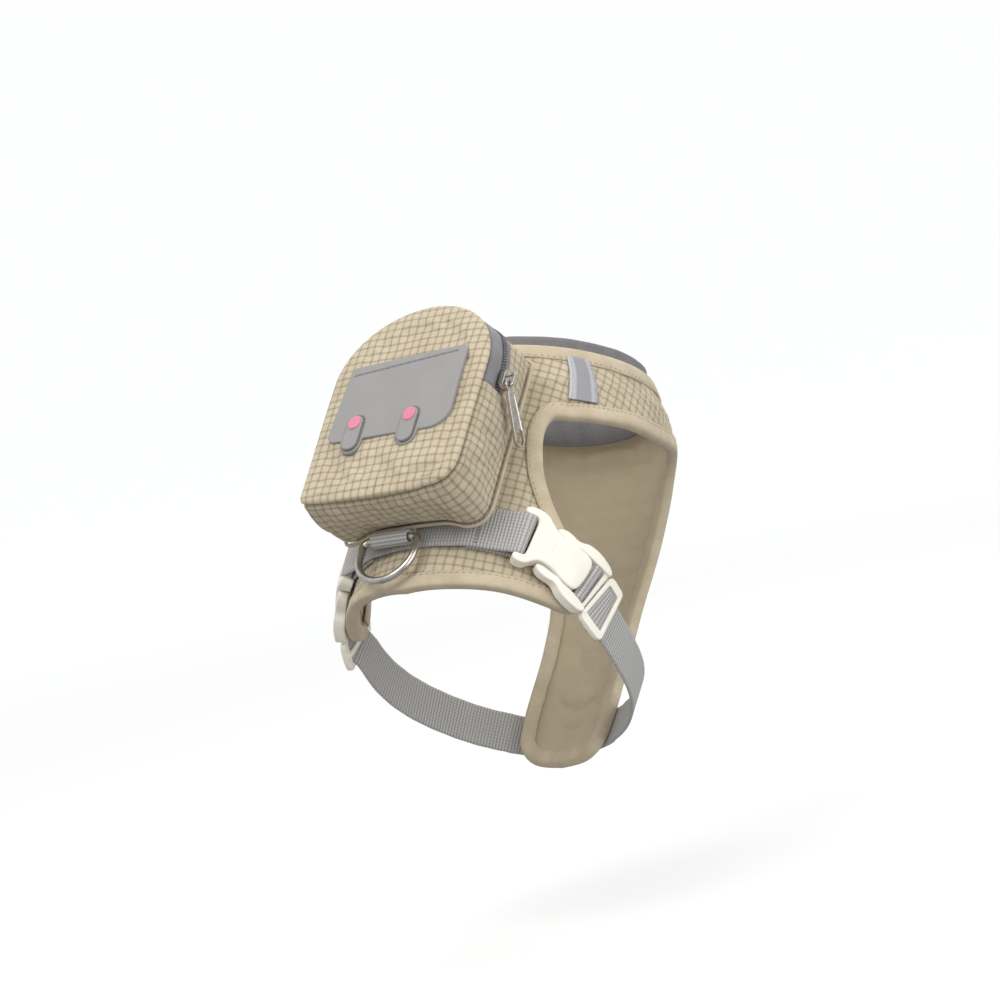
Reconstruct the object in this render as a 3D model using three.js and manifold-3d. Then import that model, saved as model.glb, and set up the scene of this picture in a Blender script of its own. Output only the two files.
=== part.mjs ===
import * as THREE from 'three';
import { mergeVertices } from 'three/addons/utils/BufferGeometryUtils.js';
import Module from 'manifold-3d';

// A small dog's harness vest with a zipped mini backpack, in the form that it has when worn.
// Lengths are millimetres. The harness is laid out on a torso form: x to the wearer's right,
// y along the spine towards the head, z out of the back. The origin is on the mid-line of the
// back panel's inner face, under the pack. The whole is then pitched as a sitting back is.

const wasm = await Module();
wasm.setup();

// worn form
const backPitch = 45; // degrees
const chestHalfWidth = 58;
const chestDepth = 134;
const rearReach = 75; // from the origin to the rear edge, along the spine
const neckReach = 52; // from the origin to the neck edge, along the spine

// cloth and trim
const gap = 0.3; // between pieces that touch
const clothThickness = 2.4;
const bindingThickness = 0.9;
const bindingWidth = 7;
const chestSeam = 128; // degrees round from the spine, where yoke and chest panel meet
const liningStand = 6.5; // how far the collar lining shows past the neck edge
const liningTuck = 4.5; // how far it reaches in under the vest
const liningFlare = 3; // how far its edge turns out
const liningThickness = 1;
const stripThickness = 0.6;

// webbing
const webbingWidth = 20;
const webbingThickness = 1.4;
const foldReach = 24.5; // from the spine to the end of the webbing folded back under the belt

// side-release buckles, along the belt from the webbing's bend
const buckleStart = 50; // from the spine along the belt
const buckleWidth = 30.6;
const buckleThickness = 6;
const buckleRise = 4; // underside above the torso form
const barThickness = 3;
const femaleLength = 26.4;
const maleEnd = 35.2;
const maleBarThickness = 2;
const maleBarGap = 2.2;
const outerBarWidth = 2.2;

// three-bar slider
const sliderLength = 12;
const sliderWidth = 28;
const sliderRail = 2.6;
const sliderMiddleBar = 2;
const sliderThickness = 3;

// leash ring and its keeper
const ringWidth = 31;
const ringLength = 24.4;
const ringWire = 3.2;
const ringCornerRadius = 3;
const ringOffset = -8.3; // from the mid-line
const ringBarBack = -51.8; // the ring's straight bar, along the spine from the origin
const ringBarRise = 7.8;
const keeperWidth = 18.5;
const keeperLength = 7.5;

// pack
const packHalfWidth = 38;
const packBottom = 48.5; // front seam, behind the origin
const packTop = 49.3; // front seam, ahead of the origin
const frontSag = 1.8; // of the front seam's bottom edge, at its middle
const packCornerRadius = 7;
const packArchHeight = 34.8;
const packFrontHeight = 35.5; // crown of the front panel above the torso form
const packFrontThickness = 1.6;
const packFrontCrown = 1.2;
const packWall = 1.4;
const packBulge = 1.2;
const baseHalfWidth = 34.5;
const baseBottomHalfWidth = 35.2;
const baseBottom = 47;
const baseHollow = 1.8; // how far the bottom edge draws in at its middle
const baseTop = 43.3;
const baseArchHeight = 8; // the base is squarer at the top than the front
const baseRise = 4;
const baseArch = 4.3; // how much the base seam lifts over the ring keeper
const baseTopArch = 1.3; // and over the vest at the top
const baseWall = 1.2;
const pipingRadius = 1.1;

// zip over the arch, in heights above the torso form
const zipStart = 5; // along the spine, where the zip begins on each side
const zipBack = 18.8;
const zipTapeBackWidth = 3;
const zipCoilWidth = 3.4;
const zipCoilThickness = 2;
const zipCoilStand = 0.6; // proud of the tapes
const zipSliderLength = 9;
const zipSliderWidth = 6;
const zipSliderHeight = 2.4;
const zipSliderAt = 10.8; // along the spine
const pullLength = 22.5;
const pullWidth = 7.4;
const pullThickness = 1.4;
const pullHole = 4.8;
const pullHoleLength = 6;
const pullEye = 2.6;
const bridgeWire = 1.1;
const bridgeRoom = 2.2; // under the slider's bridge
const bridgeSpan = 6.5;

// rubber flap on the pack
const patchWidth = 58;
const patchHeight = 41;
const patchThickness = 2;
const patchOffset = -0.8; // from the mid-line
const patchAhead = -0.8; // its middle, along the spine from the origin
const patchTabWidth = 10.4;
const patchTabLength = 20.5;
const patchTabThickness = 1.2;
const patchTabRim = 1.4;
const patchTabSpacing = 27.8;
const patchTabShift = -3.5; // of the pair, from the patch's middle
const patchTabDrop = 7.2; // below the patch's lower edge
const buttonWidth = 6.4;
const buttonLength = 7.6;
const buttonThickness = 0.8;

const materials = {
  checkedCloth: new THREE.MeshStandardMaterial({ color: 0xc2b493, roughness: 0.85 }),
  tanTape: new THREE.MeshStandardMaterial({ color: 0xbfae8c, roughness: 0.8 }),
  greyTape: new THREE.MeshStandardMaterial({ color: 0x7d7f86, roughness: 0.75 }),
  webbing: new THREE.MeshStandardMaterial({ color: 0x82858b, roughness: 0.7 }),
  silver: new THREE.MeshStandardMaterial({ color: 0xb4b8bf, roughness: 0.4 }),
  ivoryPlastic: new THREE.MeshStandardMaterial({ color: 0xf3efe4, roughness: 0.35 }),
  nickel: new THREE.MeshStandardMaterial({ color: 0xc9c7c2, roughness: 0.25, metalness: 1 }),
  greyRubber: new THREE.MeshStandardMaterial({ color: 0x77777c, roughness: 0.6 }),
  pinkRubber: new THREE.MeshStandardMaterial({ color: 0xe0699c, roughness: 0.5 }),
};

const radians = THREE.MathUtils.degToRad;
const clamp = THREE.MathUtils.clamp;
const smooth = THREE.MathUtils.smoothstep;
const lerp = THREE.MathUtils.lerp;

// A smooth curve through a table's rows: every other column, at a value of its first column.
function blendRows(rows, key, value) {
  let i = rows.findIndex((row) => row[key] > value) - 1;
  if (i === -2) i = rows.length - 2;
  i = clamp(i, 0, rows.length - 2);
  const span = rows[i + 1][key] - rows[i][key];
  const t = (value - rows[i][key]) / span;
  const slope = (j, column) => {
    const before = rows[Math.max(j - 1, 0)];
    const after = rows[Math.min(j + 1, rows.length - 1)];
    return (after[column] - before[column]) / (after[key] - before[key]);
  };
  const result = {};
  for (const column of Object.keys(rows[0])) {
    const a = rows[i][column];
    const b = rows[i + 1][column];
    const rise = (2 * t ** 3 - 3 * t ** 2 + 1) * a + (3 * t ** 2 - 2 * t ** 3) * b;
    const lean = (t ** 3 - 2 * t ** 2 + t) * slope(i, column) + (t ** 3 - t ** 2) * slope(i + 1, column);
    result[column] = rise + lean * span;
  }
  return result;
}

// Rings of the torso, by where they cross the spine: shares of the reaches (at, ahead),
// of the chest depth (rise, depth) and of the chest's half width (width).
const torsoRings = [
  { at: -1.3, rise: -0.02, ahead: 0, depth: 0.96, width: 0.965 },
  { at: -0.6, rise: 0, ahead: 0, depth: 1, width: 1 },
  { at: 0, rise: 0, ahead: 0.02, depth: 1, width: 1 },
  { at: 0.48, rise: 0, ahead: 0.29, depth: 0.97, width: 0.985 },
  { at: 0.81, rise: 0, ahead: 0.6, depth: 0.88, width: 0.9 },
  { at: 1, rise: 0, ahead: 0.73, depth: 0.72, width: 0.81 },
  { at: 1.2, rise: 0.01, ahead: 0.74, depth: 0.68, width: 0.78 },
];

const alongFrom = (share) => share * (share < 0 ? rearReach : neckReach);

// A point of the torso form: degrees round from the spine, and the ring that it lies on.
function torso(around, at) {
  const ring = blendRows(torsoRings, 'at', at);
  const turn = radians(around);
  const ahead = ring.ahead * neckReach / 2;
  const half = ring.depth * chestDepth / 2;
  return new THREE.Vector3(
    Math.sin(turn) * ring.width * chestHalfWidth,
    alongFrom(at) + ahead - Math.cos(turn) * ahead,
    ring.rise * chestDepth - half + Math.cos(turn) * half,
  );
}

function torsoFrame(around, at) {
  const turnStep = 0.5;
  const atStep = 0.005;
  const turning = torso(around + turnStep, at).sub(torso(around - turnStep, at)).divideScalar(2 * turnStep);
  const onward = torso(around, at + atStep).sub(torso(around, at - atStep)).divideScalar(2 * atStep);
  return { turning, onward, out: turning.clone().cross(onward).normalize() };
}

function onTorso(around, at, lift) {
  return torso(around, at).addScaledVector(torsoFrame(around, at).out, lift);
}

// Moves a spot on the form by a distance along a heading that lies in its surface.
function slide(spot, heading, distance) {
  const { turning, onward } = torsoFrame(spot.around, spot.at);
  const aa = turning.dot(turning);
  const ab = turning.dot(onward);
  const bb = onward.dot(onward);
  const ha = heading.dot(turning) * distance;
  const hb = heading.dot(onward) * distance;
  const scale = aa * bb - ab * ab;
  return {
    around: spot.around + (ha * bb - hb * ab) / scale,
    at: spot.at + (hb * aa - ha * ab) / scale,
  };
}

// A closed solid as points and triangles, turned so that its faces point out.
function solid(points, faces) {
  let volume = 0;
  for (const [a, b, c] of faces) volume += points[a].dot(points[b].clone().cross(points[c]));
  return { points, faces: volume < 0 ? faces.map(([a, b, c]) => [a, c, b]) : faces };
}

function loft(rings, capFaces) {
  const count = rings[0].length;
  const closed = !capFaces;
  const faces = [];
  for (let i = 0; i < rings.length - (closed ? 0 : 1); i++) {
    const next = (i + 1) % rings.length;
    for (let k = 0; k < count; k++) {
      const k2 = (k + 1) % count;
      faces.push([i * count + k, i * count + k2, next * count + k2]);
      faces.push([i * count + k, next * count + k2, next * count + k]);
    }
  }
  if (!closed) {
    const last = (rings.length - 1) * count;
    for (const [a, b, c] of capFaces) faces.push([a, c, b], [last + a, last + b, last + c]);
  }
  return solid(rings.flat(), faces);
}

const fan = (count) => Array.from({ length: count - 2 }, (_, k) => [0, k + 1, k + 2]);

function mirrored(shape) {
  return solid(shape.points.map((p) => new THREE.Vector3(-p.x, p.y, p.z)), shape.faces);
}

function fromGeometry(geometry) {
  const plain = geometry.index ? geometry.toNonIndexed() : geometry.clone();
  for (const name of ['normal', 'uv']) plain.deleteAttribute(name);
  const merged = mergeVertices(plain, 1e-4);
  const position = merged.attributes.position;
  const points = [];
  for (let i = 0; i < position.count; i++) points.push(new THREE.Vector3().fromBufferAttribute(position, i));
  const faces = [];
  for (let i = 0; i < merged.index.count; i += 3) {
    const face = [merged.index.getX(i), merged.index.getX(i + 1), merged.index.getX(i + 2)];
    if (new Set(face).size === 3) faces.push(face);
  }
  return solid(points, faces);
}

function toGeometry({ points, faces }) {
  const geometry = new THREE.BufferGeometry();
  const values = new Float32Array(points.flatMap((p) => [p.x, p.y, p.z]));
  geometry.setAttribute('position', new THREE.BufferAttribute(values, 3));
  geometry.setIndex(faces.flat());
  geometry.computeVertexNormals();
  return geometry;
}

function toManifold({ points, faces }) {
  return new wasm.Manifold(new wasm.Mesh({
    numProp: 3,
    vertProperties: new Float32Array(points.flatMap((p) => [p.x, p.y, p.z])),
    triVerts: new Uint32Array(faces.flat()),
  }));
}

function fromManifold(body) {
  const mesh = body.getMesh();
  const points = [];
  for (let i = 0; i < mesh.numVert; i++) {
    points.push(new THREE.Vector3(...mesh.vertProperties.slice(i * mesh.numProp, i * mesh.numProp + 3)));
  }
  const faces = [];
  for (let i = 0; i < mesh.triVerts.length; i += 3) faces.push(Array.from(mesh.triVerts.slice(i, i + 3)));
  return solid(points, faces);
}

const joined = (a, b) => fromManifold(toManifold(a).add(toManifold(b)));
const cut = (a, b) => fromManifold(toManifold(a).subtract(toManifold(b)));

const worn = new THREE.Group();
worn.rotation.x = radians(backPitch);

function addPart(name, shape, material, parent = worn) {
  const mesh = new THREE.Mesh(toGeometry(shape), material);
  mesh.name = name;
  parent.add(mesh);
  return mesh;
}

function addPair(name, shape, material) {
  addPart(`${name}_right`, shape, material);
  addPart(`${name}_left`, mirrored(shape), material);
}

// A thick sheet from patches of a grid. Spots that fall together are joined, and the open
// rim gets a wall. place(spot, side) gives the point on the outer (1) or inner (0) face.
function thickSheet(patches, keys, place) {
  const [across, ahead] = keys;
  const spots = [];
  const index = new Map();
  const find = (spot) => {
    const key = `${spot[across].toFixed(3)},${spot[ahead].toFixed(5)}`;
    if (!index.has(key)) {
      index.set(key, spots.length);
      spots.push(spot);
    }
    return index.get(key);
  };
  const top = [];
  const addFace = (a, b, c) => {
    if (a === b || b === c || a === c) return;
    const [p, q, r] = [spots[a], spots[b], spots[c]];
    const area = (q[across] - p[across]) * (r[ahead] - p[ahead])
      - (r[across] - p[across]) * (q[ahead] - p[ahead]);
    top.push(area > 0 ? [a, b, c] : [a, c, b]);
  };
  for (const rows of patches) {
    for (let i = 0; i < rows.length - 1; i++) {
      for (let j = 0; j < rows[i].length - 1; j++) {
        const corners = [rows[i][j], rows[i + 1][j], rows[i + 1][j + 1], rows[i][j + 1]].map(find);
        addFace(corners[0], corners[1], corners[2]);
        addFace(corners[0], corners[2], corners[3]);
      }
    }
  }
  const count = spots.length;
  const edges = new Set(top.flatMap(([a, b, c]) => [`${a},${b}`, `${b},${c}`, `${c},${a}`]));
  const faces = top.flatMap(([a, b, c]) => [[a, b, c], [a + count, c + count, b + count]]);
  for (const edge of edges) {
    const [a, b] = edge.split(',').map(Number);
    if (!edges.has(`${b},${a}`)) faces.push([a, a + count, b + count], [a, b + count, b]);
  }
  const points = [...spots.map((spot) => place(spot, 1)), ...spots.map((spot) => place(spot, 0))];
  return solid(points, faces);
}

// The vest's outer edge on the right side: from the spine at the rear, round the side tab,
// up the leg opening, under the yoke, then down the chest panel's side to the belly.
const vestEdge = [
  { around: 0, at: -0.978 },
  { around: 20, at: -0.944 },
  { around: 39, at: -0.9 },
  { around: 58, at: -0.87 },
  { around: 66, at: -0.85 },
  { around: 70, at: -0.81 },
  { around: 71.2, at: -0.74 },
  { around: 70, at: -0.66 },
  { around: 66.5, at: -0.58 },
  { around: 61, at: -0.487 },
  { around: 55.4, at: -0.405 },
  { around: 47.7, at: -0.263 },
  { around: 41.8, at: -0.093 },
  { around: 38.7, at: 0.13 },
  { around: 38.8, at: 0.3 },
  { around: 41.5, at: 0.4 },
  { around: 48, at: 0.44 },
  { around: 58, at: 0.5 },
  { around: 75, at: 0.59 },
  { around: 93, at: 0.645 },
  { around: 112, at: 0.71 },
  { around: chestSeam, at: 0.735 },
  { around: 138, at: 0.69 },
  { around: 147, at: 0.55 },
  { around: 153, at: 0.35 },
  { around: 157, at: 0.1 },
  { around: 158.5, at: -0.2 },
  { around: 158.5, at: -0.72 },
  { around: 160.5, at: -0.88 },
  { around: 167, at: -0.96 },
  { around: 180, at: -0.985 },
];
const edgeRow = { spine: 0, tabRear: 5, tabEnd: 6, tabFront: 7, yokeCorner: 15, chestSeam: 21, belly: 30 };
const edgeScale = 100; // so that degrees and shares count alike in the curve's spacing
const edgeCurve = new THREE.CatmullRomCurve3(
  vestEdge.map((row) => new THREE.Vector3(row.around, row.at * edgeScale, 0)), false, 'centripetal',
);

function edgeSpot(row) {
  const p = edgeCurve.getPoint(row / (vestEdge.length - 1));
  return { around: p.x, at: p.y / edgeScale };
}

const steps = (from, to, count) => Array.from({ length: count + 1 }, (_, i) => lerp(from, to, i / count));

// Grid rows between two edges, closer together under the bindings along both.
function strip(inner, outer, shares) {
  return inner.map((from, i) => shares.map((t) => ({
    around: lerp(from.around, outer[i].around, t),
    at: lerp(from.at, outer[i].at, t),
  })));
}

const mirroredRows = (rows) => rows.map((row) => row.map((spot) => ({ around: -spot.around, at: spot.at })));

const clothPlace = (spot, side) => onTorso(spot.around, spot.at, side * clothThickness);

function addBackPanel() {
  const legSteps = 11;
  const spineSteps = 8;
  const yokeSteps = 12;
  const seam = chestSeam - 0.15;
  const yokeEnd = edgeRow.chestSeam - 0.01;
  const middleRow = (edgeRow.tabFront + edgeRow.yokeCorner) / 2;
  const inner = [
    ...steps(edgeRow.tabFront, middleRow, legSteps).map(edgeSpot),
    ...steps(middleRow, edgeRow.yokeCorner, spineSteps).slice(1).map(edgeSpot),
    ...steps(edgeRow.yokeCorner, yokeEnd, yokeSteps).slice(1).map(edgeSpot),
  ];
  const outer = [
    ...steps(edgeRow.tabRear, edgeRow.spine, legSteps).map(edgeSpot),
    ...steps(vestEdge[0].at, 1, spineSteps).slice(1).map((at) => ({ around: 0, at })),
    ...steps(0, seam, yokeSteps).slice(1).map((around) => ({ around, at: 1 })),
  ];
  const rows = strip(inner, outer, [0, 0.13, 0.37, 0.63, 0.87, 1]);
  addPart('back_panel', thickSheet([rows, mirroredRows(rows)], ['around', 'at'], clothPlace),
    materials.checkedCloth);
}

function addChestPanel() {
  const seamSteps = 3;
  const sideSteps = 15;
  const seam = chestSeam + gap + 0.15;
  const side = [
    ...steps(1, vestEdge[edgeRow.chestSeam].at, seamSteps).map((at) => ({ around: seam, at })),
    ...steps(edgeRow.chestSeam, edgeRow.belly, sideSteps).slice(1).map(edgeSpot),
  ];
  const belowSeam = 0.9;
  const middle = [
    ...steps(1, belowSeam, seamSteps),
    ...steps(belowSeam, vestEdge[edgeRow.belly].at, sideSteps).slice(1),
  ].map((at) => ({ around: 180, at }));
  const rows = strip(side, middle, [0, 0.16, 0.42, 0.7, 1]);
  const otherRows = rows.map((row) => row.map((spot) => ({ around: 360 - spot.around, at: spot.at })));
  addPart('chest_panel', thickSheet([rows, otherRows], ['around', 'at'], clothPlace), materials.tanTape);
}

// Folded tape over a raw edge. Its section is a U: how far in from the edge, and how high.
function bindingShape(spots, closed) {
  const fold = -gap - bindingThickness;
  const reach = bindingWidth + fold;
  const low = -2 * gap;
  const high = clothThickness + gap;
  const section = [
    [fold, low - bindingThickness], [reach, low - bindingThickness], [reach, low], [-gap, low],
    [-gap, high], [reach, high], [reach, high + bindingThickness], [fold, high + bindingThickness],
  ].map(([inward, lift]) => new THREE.Vector2(inward, lift));
  const count = spots.length;
  const base = spots.map((spot) => torso(spot.around, spot.at));
  const rings = spots.map((spot, i) => {
    const before = base[closed ? (i + count - 1) % count : Math.max(i - 1, 0)];
    const after = base[closed ? (i + 1) % count : Math.min(i + 1, count - 1)];
    const heading = after.clone().sub(before).normalize();
    const inward = torsoFrame(spot.around, spot.at).out.cross(heading).normalize();
    return section.map((corner) => {
      const moved = slide(spot, inward, corner.x);
      return onTorso(moved.around, moved.at, corner.y);
    });
  });
  return loft(rings, closed ? null : THREE.ShapeUtils.triangulateShape(section, []));
}

function addBindings() {
  const rearHalf = steps(edgeRow.spine, edgeRow.tabEnd, 17).map(edgeSpot);
  const rearLeft = rearHalf.slice(1).reverse().map((spot) => ({ around: -spot.around, at: spot.at }));
  addPart('rear_binding', bindingShape([...rearLeft, ...rearHalf], false), materials.tanTape);
  const start = edgeRow.tabEnd + 0.36;
  const end = edgeRow.belly - 0.08;
  const leg = [
    ...steps(start, edgeRow.yokeCorner - 3, 10),
    ...steps(edgeRow.yokeCorner - 3, edgeRow.yokeCorner + 2, 7).slice(1),
    ...steps(edgeRow.yokeCorner + 2, edgeRow.chestSeam, 7).slice(1),
    ...steps(edgeRow.chestSeam, end, 15).slice(1),
  ].map(edgeSpot);
  addPair('leg_binding', bindingShape(leg, false), materials.tanTape);
  const neck = steps(0, -360, 40).slice(0, -1).map((around) => ({ around, at: 1 }));
  addPart('neck_binding', bindingShape(neck, true), materials.tanTape);
}

function addNeckLining() {
  const under = -5 * gap - bindingThickness;
  const profile = [
    { past: -liningTuck, lift: under },
    { past: bindingThickness + gap, lift: under },
    { past: liningStand, lift: under + liningFlare },
  ];
  const spot = (around, { past, lift }) => onTorso(around, 1 + past / neckReach, lift);
  const rings = steps(0, 360, 32).slice(0, -1).map((around) => [
    ...profile.map((row) => spot(around, row)),
    ...profile.map(({ past, lift }) => spot(around, { past, lift: lift - liningThickness })).reverse(),
  ]);
  addPart('neck_lining', loft(rings, null), materials.greyTape);
}

// Silver tape across each shoulder, from the neck binding to the leg opening's binding.
function addReflectiveStrips() {
  const corners = { neckInner: 47, neckOuter: 57, legInner: 46, legOuter: 57.5 };
  const neckAt = 1 - (bindingWidth - bindingThickness) / neckReach;
  const legAt = { inner: 0.6, outer: 0.645 };
  const rows = steps(0, 1, 5).map((t) => steps(0, 1, 3).map((u) => ({
    around: lerp(lerp(corners.neckInner, corners.neckOuter, u), lerp(corners.legInner, corners.legOuter, u), t),
    at: lerp(neckAt, lerp(legAt.inner, legAt.outer, u), t),
  })));
  const floor = clothThickness + gap;
  const place = (spot, side) => onTorso(spot.around, spot.at, floor + side * stripThickness);
  addPair('reflective_strip', thickSheet([rows], ['around', 'at'], place), materials.silver);
}

// The belt's centre line round the torso.
const beltRoute = [
  { around: 0, at: -0.59 },
  { around: 30, at: -0.583 },
  { around: 45, at: -0.588 },
  { around: 58, at: -0.64 },
  { around: 70, at: -0.695 },
  { around: 80, at: -0.755 },
  { around: 100, at: -0.8 },
  { around: 130, at: -0.78 },
  { around: 160, at: -0.76 },
  { around: 190, at: -0.755 },
];
const beltLift = 5; // lengths along the belt are measured this high above the form

function beltSpot(around) {
  return { around, at: blendRows(beltRoute, 'around', around).at };
}

const beltStations = [{ around: 0, length: 0 }];
for (let around = 1; around <= 185; around++) {
  const at = (degrees) => onTorso(degrees, beltSpot(degrees).at, beltLift);
  const stepLength = at(around).distanceTo(at(around - 1));
  beltStations.push({ around, length: beltStations[around - 1].length + stepLength });
}
const beltHalfLength = beltStations[180].length;

function beltPoint(length, across, lift) {
  const reach = Math.abs(length);
  const i = clamp(beltStations.findIndex((station) => station.length > reach), 1, beltStations.length - 1);
  const [a, b] = [beltStations[i - 1], beltStations[i]];
  const around = a.around + (reach - a.length) / (b.length - a.length);
  const turnStep = 0.5;
  const lifted = (degrees) => onTorso(degrees, beltSpot(degrees).at, beltLift);
  const heading = lifted(around + turnStep).sub(lifted(around - turnStep)).normalize();
  const out = torsoFrame(around, beltSpot(around).at).out;
  const side = out.clone().cross(heading).normalize();
  const point = lifted(around).addScaledVector(side, across).addScaledVector(out, lift - beltLift);
  if (length < 0) point.x = -point.x;
  return point;
}

// A flat strap whose centre line is a list of places along the belt and heights above the form.
function strapShape(route, width, place = beltPoint) {
  const longest = 8;
  const path = [route[0]];
  for (let i = 1; i < route.length; i++) {
    const from = route[i - 1];
    const to = route[i];
    const pieces = Math.max(1, Math.ceil(Math.abs(to.along - from.along) / longest));
    for (const t of steps(0, 1, pieces).slice(1)) {
      path.push({ along: lerp(from.along, to.along, t), lift: lerp(from.lift, to.lift, t) });
    }
  }
  const half = webbingThickness / 2;
  const rings = path.map((spot, i) => {
    const before = path[Math.max(i - 1, 0)];
    const after = path[Math.min(i + 1, path.length - 1)];
    const a = new THREE.Vector2(spot.along - before.along, spot.lift - before.lift).normalize();
    const b = new THREE.Vector2(after.along - spot.along, after.lift - spot.lift).normalize();
    const mean = a.clone().add(b).normalize();
    const turned = i === 0 || i === path.length - 1 ? 1 : Math.max(mean.dot(b), 0.75);
    const rise = new THREE.Vector2(-mean.y, mean.x).multiplyScalar(half / turned);
    return [[1, -1], [1, 1], [-1, 1], [-1, -1]].map(([up, side]) => place(
      spot.along + up * rise.x, side * width / 2, spot.lift + up * rise.y,
    ));
  });
  return loft(rings, fan(4));
}

const strapLift = clothThickness + gap + webbingThickness / 2;
const overBinding = strapLift + bindingThickness + gap;
const barLift = buckleRise + buckleThickness / 2;
const wrapRadius = (thickness) => thickness / 2 + gap + webbingThickness / 2;

// The webbing's turn round a bar: degrees are counted up from the direction of the belt.
function wrap(along, lift, radius, from, to) {
  return steps(from, to, Math.round(Math.abs(to - from) / 45)).map((degrees) => ({
    along: along + Math.cos(radians(degrees)) * radius,
    lift: lift + Math.sin(radians(degrees)) * radius,
  }));
}

const femaleBar = buckleStart - webbingThickness - gap - barThickness / 2;
const overFold = strapLift + webbingThickness + gap;

function addBackStrap() {
  const rampEnd = 17;
  const rise = 10;
  const half = [
    { along: rampEnd, lift: strapLift },
    { along: foldReach - 1.5, lift: overFold },
    { along: femaleBar - rise, lift: overFold + gap },
    ...wrap(femaleBar, barLift, wrapRadius(barThickness), 90, -90),
    { along: femaleBar - rise / 2, lift: strapLift + gap },
    { along: foldReach, lift: strapLift },
  ];
  const left = half.map(({ along, lift }) => ({ along: -along, lift })).reverse();
  addPart('back_strap', strapShape([...left, ...half], webbingWidth), materials.webbing);
}

// Female and male halves are lofted along the belt through rounded-off rectangles.
function beltLoft(rows, floor) {
  const rings = rows.map(({ along, inner, outer, thickness }) => {
    const chamfer = Math.min(1.2, thickness / 3, (outer - inner) / 3);
    const low = floor + (buckleThickness - thickness) / 2;
    const high = low + thickness;
    const corners = [
      [inner + chamfer, low], [outer - chamfer, low], [outer, low + chamfer], [outer, high - chamfer],
      [outer - chamfer, high], [inner + chamfer, high], [inner, high - chamfer], [inner, low + chamfer],
    ];
    return corners.map(([across, lift]) => beltPoint(buckleStart + along, across, lift));
  });
  return loft(rings, fan(8));
}

function beltBlock(from, to, halfWidth, low, high) {
  const rings = [from, (from + to) / 2, to].map((along) => [
    [-halfWidth, low], [halfWidth, low], [halfWidth, high], [-halfWidth, high],
  ].map(([across, lift]) => beltPoint(buckleStart + along, across, lift)));
  return loft(rings, fan(4));
}

// A round bar across the belt.
function beltBar(along, halfWidth, lift, thickness) {
  const rings = [-halfWidth, halfWidth].map((across) => steps(0, 360, 8).slice(0, -1).map((degrees) => {
    const turn = radians(degrees);
    const reach = thickness / 2;
    return beltPoint(buckleStart + along + Math.cos(turn) * reach, across, lift + Math.sin(turn) * reach);
  }));
  return loft(rings, fan(8));
}

// Outline rows: share of the female half's length, share of the buckle's half width, share of
// its thickness.
const femaleOutline = [
  { along: -0.2, width: 0.8, thickness: 0.75 },
  { along: -0.15, width: 0.97, thickness: 0.9 },
  { along: 0.02, width: 1, thickness: 1 },
  { along: 0.13, width: 0.92, thickness: 1 },
  { along: 0.25, width: 0.66, thickness: 1 },
  { along: 0.34, width: 0.56, thickness: 1 },
  { along: 0.68, width: 0.57, thickness: 1 },
  { along: 0.81, width: 0.74, thickness: 1 },
  { along: 0.93, width: 0.72, thickness: 0.97 },
  { along: 1, width: 0.5, thickness: 0.85 },
];

function femaleBuckle() {
  const halfWidth = buckleWidth / 2;
  const rows = femaleOutline.map(({ along, width, thickness }) => ({
    along: along * femaleLength,
    inner: -width * halfWidth,
    outer: width * halfWidth,
    thickness: thickness * buckleThickness,
  }));
  const room = webbingWidth / 2 + 2 * gap;
  const slotEnd = webbingThickness;
  const opening = beltBlock(-femaleLength / 3, slotEnd, room, 0, buckleRise + 3 * buckleThickness);
  const bar = beltBar(femaleBar - buckleStart, room + gap, barLift, barThickness);
  return joined(cut(beltLoft(rows, buckleRise), opening), bar);
}

// Side rail of the male half: the release arm that hugs the waist, then the frame's side.
const maleRail = [
  { along: 0.24, inner: 0.7, outer: 0.76, thickness: 0.6 },
  { along: 0.31, inner: 0.625, outer: 0.82, thickness: 0.72 },
  { along: 0.42, inner: 0.61, outer: 0.88, thickness: 0.75 },
  { along: 0.51, inner: 0.62, outer: 0.88, thickness: 0.75 },
  { along: 0.57, inner: 0.8, outer: 0.94, thickness: 0.75 },
  { along: 0.66, inner: 0.84, outer: 1, thickness: 0.78 },
  { along: 0.85, inner: 0.81, outer: 1, thickness: 0.75 },
  { along: 0.95, inner: 0.74, outer: 0.95, thickness: 0.7 },
  { along: 1, inner: 0.71, outer: 0.85, thickness: 0.5 },
];
const outerBarAt = maleEnd - outerBarWidth / 2;
const innerBarAt = maleEnd - outerBarWidth - maleBarGap - maleBarThickness / 2;
const outerBarFloor = barLift - maleBarThickness / 2;

function maleBuckle() {
  const halfWidth = buckleWidth / 2;
  const rail = (side) => beltLoft(maleRail.map(({ along, inner, outer, thickness }) => ({
    along: along * maleEnd,
    inner: Math.min(side * inner, side * outer) * halfWidth,
    outer: Math.max(side * inner, side * outer) * halfWidth,
    thickness: thickness * buckleThickness,
  })), buckleRise);
  const outerBar = beltBlock(outerBarAt - outerBarWidth / 2, outerBarAt + outerBarWidth / 2,
    0.78 * halfWidth, outerBarFloor, barLift + maleBarThickness * 0.7);
  const innerBar = beltBar(innerBarAt, 0.85 * halfWidth, barLift, maleBarThickness);
  return joined(joined(joined(rail(1), outerBar), rail(-1)), innerBar);
}

const sliderMiddle = maleEnd + 2 * gap + sliderLength / 2;
const sliderFloor = overBinding + webbingThickness / 2 + gap;
const middleBarTop = sliderFloor;
const middleBarFloor = middleBarTop - webbingThickness;

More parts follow.
